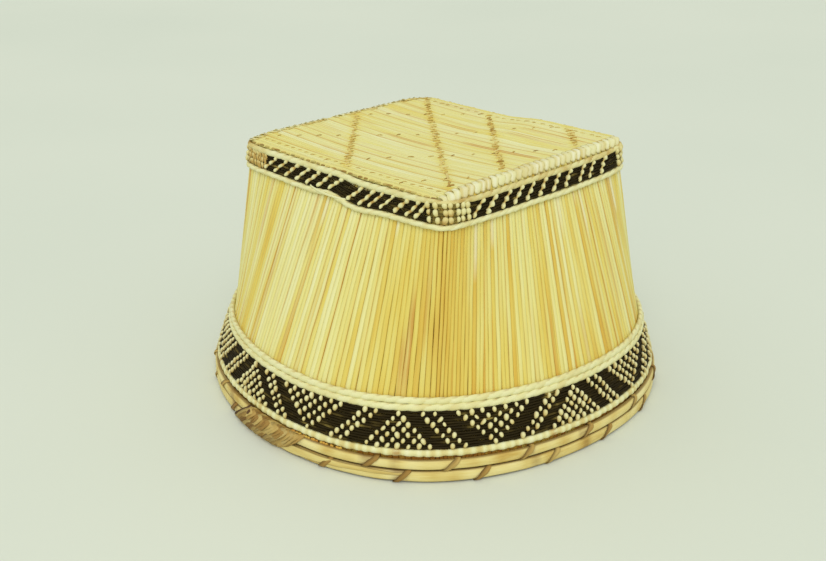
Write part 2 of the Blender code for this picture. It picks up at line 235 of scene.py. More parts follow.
def linear(colour: str) -> tuple[float, float, float, float]:
    """Turns an sRGB hex colour into linear red, green, blue and alpha."""
    channels = np.array([int(colour[place:place + 2], 16) for place in (1, 3, 5)]) / 255
    values = np.where(channels <= 0.04045, channels / 12.92, ((channels + 0.055) / 1.055) ** 2.4)
    return (*values.tolist(), 1.0)


def add_node(tree: bpy.types.NodeTree, kind: str, inputs: dict[Any, Any] | None = None,
             stops: Sequence[tuple[float, str]] = (), out: int | str = 0,
             **settings: Any) -> bpy.types.NodeSocket:
    """Adds a shader node with its settings, colour stops and links.

    Args:
        tree: The material's node tree.
        kind: The node's type without its ShaderNode start.
        inputs: Values or output sockets for the named or numbered inputs.
        stops: Places and hex colours of a colour ramp.
        out: Number or name of the output that is wanted.
        settings: Properties of the node.

    Returns:
        That output.
    """
    node = tree.nodes.new("ShaderNode" + kind)
    for name, value in settings.items():
        setattr(node, name, value)
    for number, (place, colour) in enumerate(stops):
        elements = node.color_ramp.elements
        element = elements[number] if number < 2 else elements.new(place)
        element.position = place
        element.color = linear(colour)
    for name, value in (inputs or {}).items():
        if isinstance(value, bpy.types.NodeSocket):
            tree.links.new(value, node.inputs[name])
        else:
            node.inputs[name].default_value = value
    return node.outputs[out]


@dataclass(frozen=True)
class PlantFinish:
    """A dried plant fibre: colour by tone, broken up by long grain, with stains, husks, and painted shade
    where fibres meet.

    The mesh gives tone, seed, stain, husk and the strength of the painted seam shade as point attributes;
    some pieces use the husk for a painted highlight. The grain is noise on the UV map, whose metres are
    divided by the real width and length of a fibre.

    Attributes:
        name: What the material is.
        slot: The record's material slot.
        stops: Colours from the palest tone to the darkest.
        stain: Colour of weathered or rusty places.
        husk: Colour of papery skin that is left on, and of the painted highlight along the edge wraps.
        seam: Colour of the painted shade where fibres meet.
        grain_width: Width of a visible fibre in millimetres.
        grain_length: Length of a visible fibre in millimetres.
        streak: How far the grain moves the tone.
        roughness: Middle roughness.
        relief: Depth of the grain in millimetres.
        specular: Specular level of the skin.
    """

    name: str
    slot: str
    stops: tuple[tuple[float, str], ...]
    stain: str
    husk: str
    seam: str
    grain_width: float
    grain_length: float
    streak: float
    roughness: float
    relief: float
    specular: float = 0.5

    def material(self) -> bpy.types.Material:
        """Makes the material's nodes."""
        made = bpy.data.materials.new(self.name)
        made.use_nodes = True
        tree = made.node_tree
        shader = tree.nodes["Principled BSDF"]
        given = {name: add_node(tree, "Attribute", out="Fac", attribute_name=name)
                 for name in ("tone", "seed", "stain", "husk", "seam")}
        uv = add_node(tree, "UVMap", uv_map="UVMap")
        apart = add_node(tree, "CombineXYZ", {"Z": given["seed"]})
        noises = []
        for widen, lengthen in ((1.0, 1.0), (5.0, 2.6)):
            scale = (1000 / self.grain_width / widen, 1000 / self.grain_length / lengthen, 1)
            spread = add_node(tree, "Mapping", {"Vector": uv, "Scale": scale})
            place = add_node(tree, "VectorMath", {0: spread, 1: apart}, operation="ADD")
            noises.append(add_node(tree, "TexNoise", {"Vector": place, "Scale": 1.0, "Detail": 3.0,
                                                      "Roughness": 0.6}, out="Fac"))
        fine, broad = noises
        both = add_node(tree, "Math", {0: fine, 1: broad}, operation="ADD")
        centred = add_node(tree, "Math", {0: both, 1: -1.0}, operation="ADD")
        tone = add_node(tree, "Math", {0: centred, 1: self.streak, 2: given["tone"]},
                        operation="MULTIPLY_ADD")
        colour = add_node(tree, "ValToRGB", {0: tone}, self.stops)
        ragged = add_node(tree, "MapRange", {"Value": broad, "From Min": 0.3, "From Max": 0.55})
        # Stains, and husks, which on the edge wraps are a painted highlight.
        for share, tint in (("stain", self.stain), ("husk", self.husk)):
            factor = add_node(tree, "Math", {0: given[share], 1: ragged}, operation="MULTIPLY",
                              use_clamp=True)
            colour = add_node(tree, "Mix", {0: factor, 6: colour, 7: linear(tint)}, out=2,
                              data_type="RGBA")
        # Painted shade where fibres meet.
        colour = add_node(tree, "Mix", {0: given["seam"], 6: colour, 7: linear(self.seam)}, out=2,
                          data_type="RGBA")
        tree.links.new(colour, shader.inputs["Base Color"])
        rough = add_node(tree, "MapRange", {"Value": fine, "To Min": self.roughness - 0.1,
                                            "To Max": self.roughness + 0.14})
        tree.links.new(rough, shader.inputs["Roughness"])
        bump = add_node(tree, "Bump", {"Height": fine, "Strength": 0.7, "Distance": self.relief / 1000})
        tree.links.new(bump, shader.inputs["Normal"])
        shader.inputs["Specular IOR Level"].default_value = self.specular
        return made


# Dry reed straw, split and flattened: a waxy skin gives a soft gloss along each straw, over long fibres.
DRY_STRAW = PlantFinish("dry_reed_straw", "straw",
                        ((0.0, "#ECE9B6"), (0.3, "#E8DF90"), (0.55, "#E4CF68"), (0.78, "#DDB84C"),
                         (1.0, "#CB8E3A")),
                        "#CC9540", "#EDEBCB", "#CDA040", 0.9, 70, 0.24, 0.5, 0.06, 0.35)
# Soft bast fibre rolled by hand into cord: matt and whitish, with fine slanting threads.
TWISTED_FIBRE = PlantFinish("rolled_bast_cord", "pale_cord",
                            ((0.0, "#F0EDC4"), (0.45, "#E8E3AC"), (0.8, "#DCCB88"), (1.0, "#C09E56")),
                            "#B58A48", "#F3F0D4", "#B08A45", 0.5, 9, 0.2, 0.6, 0.08, 0.3)
# Fibre dyed black: thin dark strands that keep a dull gloss, olive or brown where the dye has worn.
BLACK_FIBRE = PlantFinish("black_dyed_fibre", "black_strand",
                          ((0.0, "#1D1607"), (0.45, "#30260D"), (0.75, "#574922"), (1.0, "#9A8848")),
                          "#6E5128", "#33290F", "#120E05", 0.4, 40, 0.36, 0.6, 0.1, 0.1)
# Split cane: a hard skin, tan with yellow, and open grain where it was cut.
SPLIT_CANE = PlantFinish("split_cane", "cane",
                         ((0.0, "#F0E3A6"), (0.35, "#E4D086"), (0.65, "#CFAF5E"), (1.0, "#A2783A")),
                         "#8A6030", "#EDE2B4", "#7A5628", 1.3, 22, 0.55, 0.55, 0.3, 0.25)
# Dark inner bark torn into strips: dull and papery, with grey-brown fibres along it.
BARK_STRIP = PlantFinish("inner_bark_strip", "bark",
                         ((0.0, "#CBB06A"), (0.35, "#AE8A48"), (0.7, "#8A632E"), (1.0, "#5C3C20")),
                         "#4A2F1C", "#D8C684", "#46300F", 0.8, 16, 0.5, 0.7, 0.3, 0.3)
# Brown root or bast used for sewing the base: thin, dull, olive to rusty.
BROWN_FIBRE = PlantFinish("brown_sewing_fibre", "stitching",
                          ((0.0, "#E2D08C"), (0.4, "#CCAE60"), (0.75, "#AE8842"), (1.0, "#7E5626")),
                          "#A86E26", "#E4D98C", "#7A5626", 0.4, 6, 0.3, 0.65, 0.1, 0.2)


def weave(name: str, sheets: Sequence[Sheet], finish: PlantFinish, nodes: Sequence[str] = (),
          slot: str = "") -> bpy.types.Object:
    """Makes one piece from sheets, dresses it and seats it on the basket's body.

    Args:
        name: Name of the piece.
        sheets: Its surfaces.
        finish: What it is made of.
        nodes: CAD nodes that it stands for.
        slot: The record's material slot, where it isn't the finish's own. Not used.

    Returns:
        The new object.
    """
    names = sorted({key for sheet in sheets for key in sheet.values})
    values: dict[str, list[Array]] = {key: [] for key in names}
    points, faces, caps, uvs, cap_uvs = [], [], [], [], []
    count = 0
    for sheet in sheets:
        numbers, corners = sheet.quads()
        faces += (numbers + count).tolist()
        uvs.append(corners.reshape(-1, 2))
        ends = sheet.caps()
        caps += (ends + count).tolist()
        cap_uvs.append(np.zeros((ends.size, 2)))
        points.append(sheet.points.reshape(-1, 3))
        shape = sheet.points.shape[:3]
        for key in names:
            values[key].append(np.broadcast_to(sheet.values.get(key, 0.0), shape).ravel())
        count += len(points[-1])
    mesh = bpy.data.meshes.new(name)
    mesh.from_pydata(np.concatenate(points), [], faces + caps)
    layer = mesh.uv_layers.new(name="UVMap")
    layer.data.foreach_set("uv", np.concatenate(uvs + cap_uvs).ravel())
    for key in names:
        attribute = mesh.attributes.new(key, "FLOAT", "POINT")
        attribute.data.foreach_set("value", np.concatenate(values[key]))
    mesh.shade_smooth()
    mesh.materials.append(bpy.data.materials.get(finish.name) or finish.material())
    piece = bpy.data.objects.new(name, mesh)
    bpy.context.scene.collection.objects.link(piece)
    slot = slot or finish.slot
    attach(piece, BODY)
    if nodes:
        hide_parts(*nodes)
    triangles = sum(len(face) - 2 for face in faces + caps)
    log.info("%s: %d triangles, stands for %d CAD nodes", name, triangles, len(nodes))
    return piece


@dataclass(frozen=True)
class BasketShape:
    """The basket's form: a ruled wall from a rounded rectangle to a circle that is a little square.

    Straws are numbered from the front corner, 64 to a face, in the order right, back, left and front.

    Attributes:
        base_length: Size of the base along X.
        base_width: Size of the base along Y.
        corner_radius: Radius of the base's corners.
        mouth_radius: Radius of the straws' crowns below the wide band.
        knee_radius: Radius where the band's flare ends.
        left_press: How far the left corner is pressed in at the knee.
        press_reach: Angle over which it is pressed in.
        squareness: Share by which the ring swells four times round.
        mouth_turn: Angle of one swelling.
        face_straws: Straws to a face.
        right_lean: Share of a face by which the right wall's middle leans forward.
        wall_top: Height where the wall straws begin to bend over the base.
        knee_height: Height of the knee.
        band_base: Height of the wide band's foot.
        slack_places: Rise, and middle and reach in straws, of places where the front wall's rows are uneven.
        edge_bend: Distance over which the outer straws turn down at the short edges.
        base_sharpness: Share of the corner radius that the base's own corners keep.
        edge_rise: How far the base rises towards the short edges and the back one.
        side_reach: |X| at which the short edges' rise is full.
        corner_run: |Y| from which that rise falls off to the corners, and over what distance.
        corner_loss: Share of that rise that is lost at the corners.
        back_run: X from which the back edge rises, and over what distance.
        back_reach: Y at which that rise is full.
        row_rise_reach: Straws over which rows rise at a corner.
        left_loss: Share of that rise that the left corner lacks.
        sink: How much closer rows lie to the wall at a corner.
        sink_reach: Straws over which they do so.
    """

    base_length: float = 0.2458
    base_width: float = 0.2273
    corner_radius: float = 0.0095
    mouth_radius: float = 0.1975
    knee_radius: float = 0.1859
    left_press: float = 0.0034
    press_reach: float = 0.45
    squareness: float = 0.0193
    mouth_turn: float = math.radians(36.6)
    face_straws: int = 64
    right_lean: float = 0.09
    wall_top: float = span("right_wall_straws_1")[1]
    knee_height: float = span("band_upper_cord")[1] + CLEARANCE / 2
    band_base: float = span("beaded_row")[1] + CLEARANCE / 2
    slack_places: tuple[tuple[float, float, float], ...] = ((0.0016, 32.0, 3.2), (-0.0025, 41.0, 5.5))
    edge_bend: float = 0.0048
    base_sharpness: float = 0.4
    edge_rise: float = 0.0036
    side_reach: float = 0.112
    corner_run: tuple[float, float] = (0.085, 0.028)
    corner_loss: float = 0.75
    back_run: tuple[float, float] = (-0.010, 0.045)
    back_reach: float = 0.1
    row_rise_reach: float = 6.0
    left_loss: float = 0.65
    sink: float = 0.0010
    sink_reach: float = 3.0

    @property
    def straws(self) -> int:
        """Straws in all four walls."""
        return 4 * self.face_straws

    def outline(self, unit: Array) -> tuple[Array, Array]:
        """The base's rounded outline.

        The straight parts run along the faces, and each corner is an arc about the corner's centre.

        Args:
            unit: Straw numbers.

        Returns:
            Points and outward directions, each with two coordinates.
        """
        unit = unit % self.straws
        face = np.floor(unit / self.face_straws)
        lengthways = face % 2 == 0
        half_across = np.where(lengthways, self.base_length, self.base_width) / 2
        straight = np.where(lengthways, self.base_width, self.base_length) / 2 - self.corner_radius
        along = (unit / self.face_straws - face - 0.5) * 2 * (straight + self.corner_radius * math.pi / 4)
        bend = np.clip(np.abs(along) - straight, 0, None) / self.corner_radius * np.sign(along)
        turn = face * math.pi / 2
        across = half_across - self.corner_radius
        level = np.clip(along, -straight, straight)
        centre = np.stack([across * np.cos(turn) - level * np.sin(turn),
                           across * np.sin(turn) + level * np.cos(turn)], -1)
        outward = np.stack([np.cos(turn + bend), np.sin(turn + bend)], -1)
        return centre + self.corner_radius * outward, outward

    def mouth_angle(self, unit: Array) -> Array:
        """The angle round the mouth that each straw comes down to."""
        unit = unit % self.straws
        face = np.floor(unit / self.face_straws)
        share = unit / self.face_straws - face
        lean = np.where(face == 0, self.right_lean, 0.0) * 4 * share * (1 - share)
        return -math.pi / 4 + (face + share - lean) * math.pi / 2

    def near_corner(self, unit: Array, reach: float) -> Array:
        """Nearness to a corner: the bell curve of the distance to it, in straws, over the reach."""
        half = self.face_straws / 2
        away = (unit + half) % self.face_straws - half
        return np.exp(-(away / reach) ** 2)

    def corner_rise(self, unit: Array) -> Array:
        """How much rows rise at a corner: a bell curve of the distance, a third as high at the left one."""
        left = unit % self.straws - 3 * self.face_straws
        return (self.near_corner(unit, self.row_rise_reach)
                - self.left_loss * np.exp(-(left / self.row_rise_reach) ** 2))

    def corner_sink(self, unit: Array) -> Array:
        """How much closer to the wall rows lie near a corner: a bell curve of the distance."""
        return self.sink * self.near_corner(unit, self.sink_reach)

    def slack(self, unit: Array) -> Array:
        """How far the rows under the edge rise or sag: the sum of bell curves on the front wall."""
        place = unit % self.straws - 3 * self.face_straws
        return sum(rise * np.exp(-((place - middle) / reach) ** 2)
                   for rise, middle, reach in self.slack_places)

    def lift(self, x: Array, y: Array) -> Array:
        """How far the base lies above its CAD height.

        It rises with the square of |x| towards the short edges, less so at their corners, and in a smooth
        step of x along the back edge. The larger of the two counts.
        """
        side = np.clip(np.abs(x) / self.side_reach, 0, 1) ** 2
        corner = smooth_step((np.abs(y) - self.corner_run[0]) / self.corner_run[1])
        back = smooth_step((x - self.back_run[0]) / self.back_run[1]) * smooth_step(y / self.back_reach)
        return self.edge_rise * np.maximum(side * (1 - self.corner_loss * corner), back)

    def ring(self, angle: Array, radius: Array) -> Array:
        """Points round a ring: the radius swells with the cosine of four times the angle."""
        reach = radius * (1 + self.squareness * np.cos(4 * (angle - self.mouth_turn)))
        return np.stack([reach * np.cos(angle), reach * np.sin(angle)], -1)

    def knee(self, angle: Array) -> Array:
        """The knee's radius, less a bell curve of the angle from the left corner."""
        away = (angle - self.mouth_angle(3 * self.face_straws) + math.pi) % FULL_TURN - math.pi
        return self.knee_radius - self.left_press * np.exp(-(away / self.press_reach) ** 2)

    def flare(self, angle: Array, height: Array, stand_off: Array) -> Array:
        """Points below the knee, where the radius goes evenly from the knee's to the mouth's.

        Args:
            angle: Angle round the mouth.
            height: Height above the floor.
            stand_off: Distance outside the straws' crowns.

        Returns:
            Points, broadcast x 3.
        """
        angle, height, stand_off = alike(angle, height, stand_off)
        share = np.clip((height - self.band_base) / (self.knee_height - self.band_base), 0, 1)
        radius = self.mouth_radius + share * (self.knee(angle) - self.mouth_radius)
        return np.concatenate([self.ring(angle, radius + stand_off), height[..., None]], -1)

    def wall(self, unit: Array, height: Array, stand_off: Array) -> Array:
        """Points on the wall: straight from the base's outline to the knee, and the flare below it.

        Args:
            unit: Straw numbers.
            height: Height above the floor.
            stand_off: Distance outside the straws' crowns.

        Returns:
            Points, broadcast x 3.
        """
        unit, height, stand_off = alike(unit, height, stand_off)
        edge, outward = self.outline(unit)
        angle = self.mouth_angle(unit)
        down = np.clip((self.wall_top - height) / (self.wall_top - self.knee_height), 0, 1)[..., None]
        knee = self.ring(angle, self.knee(angle) + stand_off)
        ruled = (1 - down) * (edge + stand_off[..., None] * outward) + down * knee
        ruled = np.concatenate([ruled, height[..., None]], -1)
        return np.where((height >= self.knee_height)[..., None], ruled, self.flare(angle, height, stand_off))

    def outward(self, unit: Array, height: Array) -> Array:
        """Level directions away from the wall."""
        return unit_length(self.wall(unit, height, 0.001) - self.wall(unit, height, 0.0))

    def ring_outward(self, angle: Array) -> Array:
        """Level directions away from the rim."""
        return np.stack([np.cos(angle), np.sin(angle), np.zeros_like(angle)], -1)

    def course(self, way: Array, height: Number, stand_off: Number,
               faced_at: float | None = None) -> tuple[Array, Array]:
        """What goes all round: on the flare or, where it is faced at a height, on the wall above it.

        Args:
            way: Shares of the way round.
            height: Heights, broadcast with way.
            stand_off: Distance outside the straws' crowns.
            faced_at: Height at which the wall gives the outward directions.

        Returns:
            Path points, strips x rows x 3, and outward directions, 1 x rows x 3.
        """
        if faced_at is None:
            angle = FULL_TURN * way[None]
            return self.flare(angle, height, stand_off), self.ring_outward(angle)
        unit = way[None] * self.straws
        return self.wall(unit, height, stand_off), self.outward(unit, faced_at)


@dataclass
class Work:
    """One of the basket's sub-assemblies.

    Attributes:
        shape: The basket's form.
        rng: Source of all that varies.
    """

    shape: BasketShape
    rng: np.random.Generator

    def seeds(self, count: int) -> Array:
        """A number for each strip that sets its grain apart from the others'."""
        return self.rng.uniform(0, 90, (count, 1, 1))

    def ripple(self, count: int, place: Array, lengths: Sequence[float]) -> Array:
        """Smooth random waves along many strips at once.

        Each strip's wave is the mean of one sine per wavelength, each with a phase and a stretch of its own.

        Args:
            count: Number of strips.
            place: Distance along the strips, rows or strips x rows.
            lengths: Wavelengths in the unit of place.

        Returns:
            Values between -1 and 1, strips x rows.
        """
        waves = [np.sin(FULL_TURN * place / length * self.rng.uniform(0.8, 1.25, (count, 1))
                        + self.rng.uniform(0, FULL_TURN, (count, 1))) for length in lengths]
        return np.mean(waves, axis=0)

    def ring_ripple(self, angle: Array, turns: Sequence[int], count: int = 1) -> Array:
        """Smooth random waves round closed rings: the mean of sines that fit whole times into a turn.

        Args:
            angle: Angles of the stations, rows or strips x rows.
            turns: How many waves of each sine go round.
            count: Number of rings.

        Returns:
            Values between -1 and 1, strips x rows.
        """
        waves = [np.sin(number * angle + self.rng.uniform(0, FULL_TURN, (count, 1))) for number in turns]
        return np.mean(waves, axis=0)

    def black_row(self, node: str, seed: float, on_wall: bool, raised: Number = 0.0,
                  brown: Number = 0.0) -> list[Sheet]:
        """One black twined row: two strands, one above the other, on the outside and again on the inside.

        The strands dip in turn where they pass between straws, as a sine of the angle.

        Args:
            node: CAD node that gives the heights.
            seed: Number that sets the row's grain apart.
            on_wall: Whether the row is on the walls' upper part and not on the flare.
            raised: How far the row is out of line at each of ROW_STATIONS.
            brown: How brown the fibre is at each of ROW_STATIONS, from 0 to 1.

        Returns:
            The strands outside and inside.
        """
        shape = self.shape
        low, high = span(node)
        quarter = (high - low) / 4
        way = stations(ROW_STATIONS)
        angle = FULL_TURN * way
        unit = way * shape.straws
        pair = np.array([[-1.0], [1.0]])
        dip = 0.00022 * np.sin(ROW_DIPS * angle + seed + math.pi / 2 * pair)
        sink = shape.corner_sink(unit) if on_wall else 0.0
        fill = 1.12 + (0.42 * shape.near_corner(unit, 6.0) if on_wall else 0.0)
        sheets = []
        for side, stand_off in ((1, 0.0016 + dip - sink), (-1, -BEHIND - dip)):
            height = (low + high) / 2 + raised + pair * quarter * 1.02
            height = height + 0.0002 * self.ring_ripple(angle, (15, 33, 71), 2)
            centre, outward = shape.course(way, height, stand_off, high if on_wall else None)
            points = tube(centre, side * outward, quarter * fill, 0.0011, 6, closed=True)
            tone = 0.22 + 0.42 * self.ring_ripple(angle, (9, 26, 58), 2) ** 2 + 0.6 * brown
            tone = tone + 0.4 * smooth_step((self.ring_ripple(angle, (6, 14, 31), 2) - 0.5) / 0.2)
            sheets.append(Sheet(points, {"tone": tone[..., None], "seed": seed}, ringed=True))
        return sheets


class Layer(Enum):
    """Which of the base's two straw layers a set of straws lies in."""

    OUTER = "outer"
    INNER = "inner"


@dataclass(frozen=True)
class Stain:
    """A weathered stretch of straw on the base.

    Attributes:
        start: Lower X of the stretch.
        end: Upper X of the stretch.
        place: Y of the straw.
        strength: How dark it is.
    """

    start: float
    end: float
    place: float
    strength: float


BASE_STAINS = (
    Stain(0.034, 0.108, 0.0796, 0.8), Stain(0.025, 0.108, 0.0125, 1.0), Stain(0.034, 0.098, 0.0625, 0.6),
    Stain(-0.101, -0.049, 0.0443, 0.6), Stain(-0.039, 0.005, 0.0477, 0.7),
    Stain(-0.113, -0.074, 0.0693, 0.6), Stain(-0.047, 0.012, -0.0125, 0.7),
    Stain(-0.098, -0.074, -0.0034, 0.6), Stain(-0.113, -0.074, -0.0409, 0.35),
    Stain(-0.059, -0.020, -0.0807, 0.35), Stain(-0.093, -0.037, 0.1023, 0.5),
)


# How much darker the straws are on the right, back, left and front wall.
WALL_TONES = (0.13, 0.08, 0.08, 0.05)
# Offset and slope of the line of each dense row of stitches on the base.
DENSE_ROWS = ((-0.102, -1.0), (0.004, -0.89), (0.077, -1.0), (0.173, -1.0))


@dataclass
class StrawLayer(Work):
    """Straws that run up one wall, bend over the base's edge, cross it and run down the opposite wall.

    Neighbours touch along most of their length. They lie in pairs near the base, because each stitch over
    the edge takes two, and slips of straw are let in between them where the wall widens.

    Attributes:
        layer: Which layer it is.
        thickness: Thickness of a straw.
        end_height: Height of the straws' lower ends.
        wall_power: Squareness of the section on the walls, where the straws are pressed flat.
        panel_power: Squareness of the section on the base.
        slips_per_face: Slips let in on each wall.
        slip_margin: Straws at each corner that have no slips between them.
        around: Points round a straw.
    """

    layer: Layer
    thickness: float = 0.0036
    end_height: float = 0.003
    wall_power: float = 3.8
    panel_power: float = 4.6
    slips_per_face: int = 8
    slip_margin: int = 4
    around: int = 12

    def __post_init__(self) -> None:
        """Draws what varies from straw to straw and between neighbours, with the strength of the painted
        shade where they meet.
        """
        rng = self.rng
        straws = self.shape.straws
        outer = self.layer is Layer.OUTER
        self.faces = (0, 2) if outer else (3, 1)
        _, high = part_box(f"base_{self.layer.value}_straws_4")
        self.panel_top = high[2]
        self.bend = self.shape.edge_bend if outer else high[2] - self.shape.wall_top - CLEARANCE
        self.half = high[1 if outer else 0] + CLEARANCE / 2
        seams = np.arange(straws)
        paired = seams % 2 == 0
        self.gap = np.where(paired, 0.012, -0.03) + 0.05 * rng.random(straws) ** 4
        # Strength of the painted shade along each seam on the walls: stronger between pairs and at a few
        # wide gaps.
        self.dark = np.where(paired, 0.4, 0.08) * rng.uniform(0.1, 1.5, straws)
        self.dark += 0.7 * (rng.random(straws) > 0.94)
        corner = np.exp(-(np.minimum(seams, straws - seams) / 14) ** 2)
        self.gap = self.gap * (1 - 0.8 * corner)
        band_starts = np.isin(seams, np.cumsum(rng.integers(2, 5, straws)))
        # Strength of the painted shade along the seams on the base, stronger where a band of straws starts.
        self.base_dark = np.where(band_starts, rng.uniform(0.05, 0.6, straws), 0.03)
        self.base_tone = rng.beta(1.4, 2.6, straws)[np.cumsum(band_starts)]
        self.tone = 0.05 + 0.58 * rng.beta(1.4, 2.6, straws) * (1 - 0.55 * corner) + 0.38 * corner
        self.dark *= 1 - 0.45 * corner
        self.tone += np.repeat(WALL_TONES, self.shape.face_straws)
        self.rust = 0.9 * rng.random(straws) ** 6
        self.sunk = 0.0003 * rng.random(straws) ** 2
        self.husk_chance = rng.random(straws)
        self.husk_length = rng.uniform(0.008, 0.045, straws)
        pairs = self.shape.face_straws // 2 - self.slip_margin
        slots = [face * self.shape.face_straws + self.slip_margin
                 + 2 * np.sort(rng.choice(pairs, self.slips_per_face, replace=False)) for face in self.faces]
        self.slips = np.concatenate(slots)
        self.slip_tips = rng.uniform(0.085, 0.17, len(self.slips))
        self.slip_widths = rng.uniform(0.45, 0.8, len(self.slips))

    def parting(self, unit: Array, height: Array) -> Array:
        """How far slips push the straws aside, in straw widths.

        A slip's gap grows evenly from its tip to the rim, and the push falls off with the distance from it.

        Args:
            unit: Straw numbers.
            height: Heights, broadcast with unit.

        Returns:
            Shifts in straw numbers.
        """
        away = unit[..., None] - self.slips
        opening = np.clip((self.slip_tips - height[..., None]) / (self.slip_tips - self.end_height), 0, 1)
        push = self.slip_widths / 2 * opening * np.sign(away) * np.exp(-np.abs(away) / 3)
        return push.sum(-1)

    def wall_runs(self, straws: Array, heights: Array) -> tuple[Array, Array, Array]:
        """Paths of the straws on one wall, from the rim up.

        Each straw lies midway between its two seams, and is as wide as they allow.

        Args:
            straws: Straw numbers, whole.
            heights: Heights of the stations.

        Returns:
            Centres, straws x rows x 3, facing directions, and half widths, straws x rows.
        """
        shape = self.shape
        straws = straws[:, None]
        height = np.broadcast_to(heights, (len(straws), len(heights)))
        last = shape.straws
        paired = 0.3 + 0.7 * smooth_step((height - shape.knee_height) / 0.12)
        left = straws + self.gap[straws % last] * paired
        right = straws + 1 - self.gap[(straws + 1) % last] * paired
        left = left + self.parting(left, height)
        right = right + self.parting(right, height)
        wander = 0.06 * self.ripple(len(straws), height, (0.11, 0.05))
        depth = -self.thickness / 2 - self.sunk[straws]
        depth = depth - 0.00012 * (1 + self.ripple(len(straws), height, (0.06, 0.025)))
        face_low = np.floor(straws / shape.face_straws) * shape.face_straws
        face_high = face_low + shape.face_straws - 1e-6
        left = np.clip(left + wander, face_low, face_high)
        right = np.clip(right + wander, face_low, face_high)
        edges = [shape.wall(side, height, depth) for side in (left, right)]
        middle = (left + right) / 2
        facing = shape.outward(middle, height)
        half = np.linalg.norm(edges[1] - edges[0], axis=-1) / 2
        return shape.wall(middle, height, depth), facing, half

    def panel_runs(self, straws: Array, rows: int) -> tuple[Array, Array]:
        """Paths of the straws across the base, from the near edge to the far one.

        Args:
            straws: Straw numbers on the near wall.
            rows: Stations.

        Returns:
            Centres, straws x rows x 3, and half widths, straws x rows.
        """
        shape = self.shape
        count = len(straws)
        outer = self.layer is Layer.OUTER
        sides = (shape.base_length, shape.base_width)
        length, width = sides if outer else sides[::-1]
        sign = 1.0 if outer else -1.0
        places = (np.arange(count) + 0.5) / count * 2 * self.half - self.half
        into_corner = np.clip(np.abs(places) - width / 2 + shape.corner_radius, 0, None)
        drop = shape.corner_radius - np.sqrt(shape.corner_radius ** 2 - into_corner ** 2)
        drop = drop * shape.base_sharpness
        along = np.linspace(sign, -sign, rows)[None] * (length / 2 - self.bend - drop)[:, None]
        lengths = np.linspace(0, 0.22, rows)
        level = self.panel_top - self.thickness / 2 - self.sunk[straws][:, None]
        level = level - 0.0001 * (1 + self.ripple(count, lengths, (0.07, 0.03)))
        side = np.broadcast_to(places[:, None], along.shape)
        x, y = (along, side) if outer else (side, along)
        centre = np.stack([x, y, level + shape.lift(x, y)], -1)
        gaps = self.gap[straws] + self.gap[(straws + 1) % shape.straws]
        half = np.broadcast_to((self.half / count * (1 - 0.6 * gaps))[:, None], along.shape)
        return centre, half

    def bent(self, foot: Array, facing: Array, foot_half: Array, top: Array,
             top_half: Array) -> tuple[Array, Array, Array]:
        """The quarter turns from one wall onto the base.

        Level parts follow the cosine of the turn and upright parts its sine.

        Args:
            foot: Wall ends, straws x 3.
            facing: Outward directions there.
            foot_half: Half widths there.
            top: Panel ends, straws x 3.
            top_half: Half widths there.

        Returns:
            Centres, facing directions and half widths, each straws x 5 rows.
        """
        turn = np.linspace(0, math.pi / 2, 7)[None, 1:-1, None]
        path = top[:, None] + (foot - top)[:, None] * np.cos(turn)
        path[..., 2] = foot[:, None, 2] + (top - foot)[:, None, 2] * np.sin(turn[..., 0])
        tilt = facing[:, None] * np.cos(turn) + UP * np.sin(turn)
        half = foot_half[:, None] + (top_half - foot_half)[:, None] * np.sin(turn[..., 0])
        return path, tilt, half

    def build(self) -> bpy.types.Object:
        """Builds the layer's straws and slips as one piece."""
        shape = self.shape
        count = shape.face_straws
        order = np.arange(count)
        near = self.faces[0] * count + order
        far = self.faces[1] * count + count - 1 - order
        foot = np.linspace(self.end_height, shape.knee_height, 6)
        heights = np.concatenate([foot, np.linspace(shape.knee_height, shape.wall_top, 15)[1:]])
        near_wall = self.wall_runs(near, heights)
        far_wall = self.wall_runs(far, heights)
        panel, panel_half = self.panel_runs(near, 27)
        near_bend = self.bent(*(part[:, -1] for part in near_wall), panel[:, 0], panel_half[:, 0])
        far_bend = self.bent(*(part[:, -1] for part in far_wall), panel[:, -1], panel_half[:, -1])
        parts = [near_wall, near_bend, (panel, np.broadcast_to(UP, panel.shape), panel_half),
                 [part[:, ::-1] for part in far_bend], [part[:, ::-1] for part in far_wall]]
        centre, facing, half = (np.concatenate(kind, 1) for kind in zip(*parts))
        total = centre.shape[1]
        row = np.arange(total)
        edge = len(heights) + 5
        on_panel = np.clip((np.minimum(row - edge, total - edge - 1 - row)) / 3 + 1, 0, 1)
        power = self.wall_power + (self.panel_power - self.wall_power) * on_panel
        power = np.broadcast_to(power, half.shape)
        points = tube(centre, facing, half, self.thickness / 2, self.around, power)
        on_far = row[None] >= total - edge
        straw = np.where(on_far, far[:, None], near[:, None])
        points_values = self.values(centre, straw, on_far, on_panel)
        names = ("right", "left") if self.layer is Layer.OUTER else ("front", "back")
        nodes = [f"base_{self.layer.value}_straws_{number}" for number in (1, 2, 3, 4)]
        nodes += [f"{name}_wall_straws_{number}" for name in names for number in (1, 2, 3, 4)]
        return weave(f"{self.layer.value}_straws", [Sheet(points, points_values), self.slip_sheet()],
                     DRY_STRAW, nodes, "straw" if self.layer is Layer.OUTER else "inner_straw")

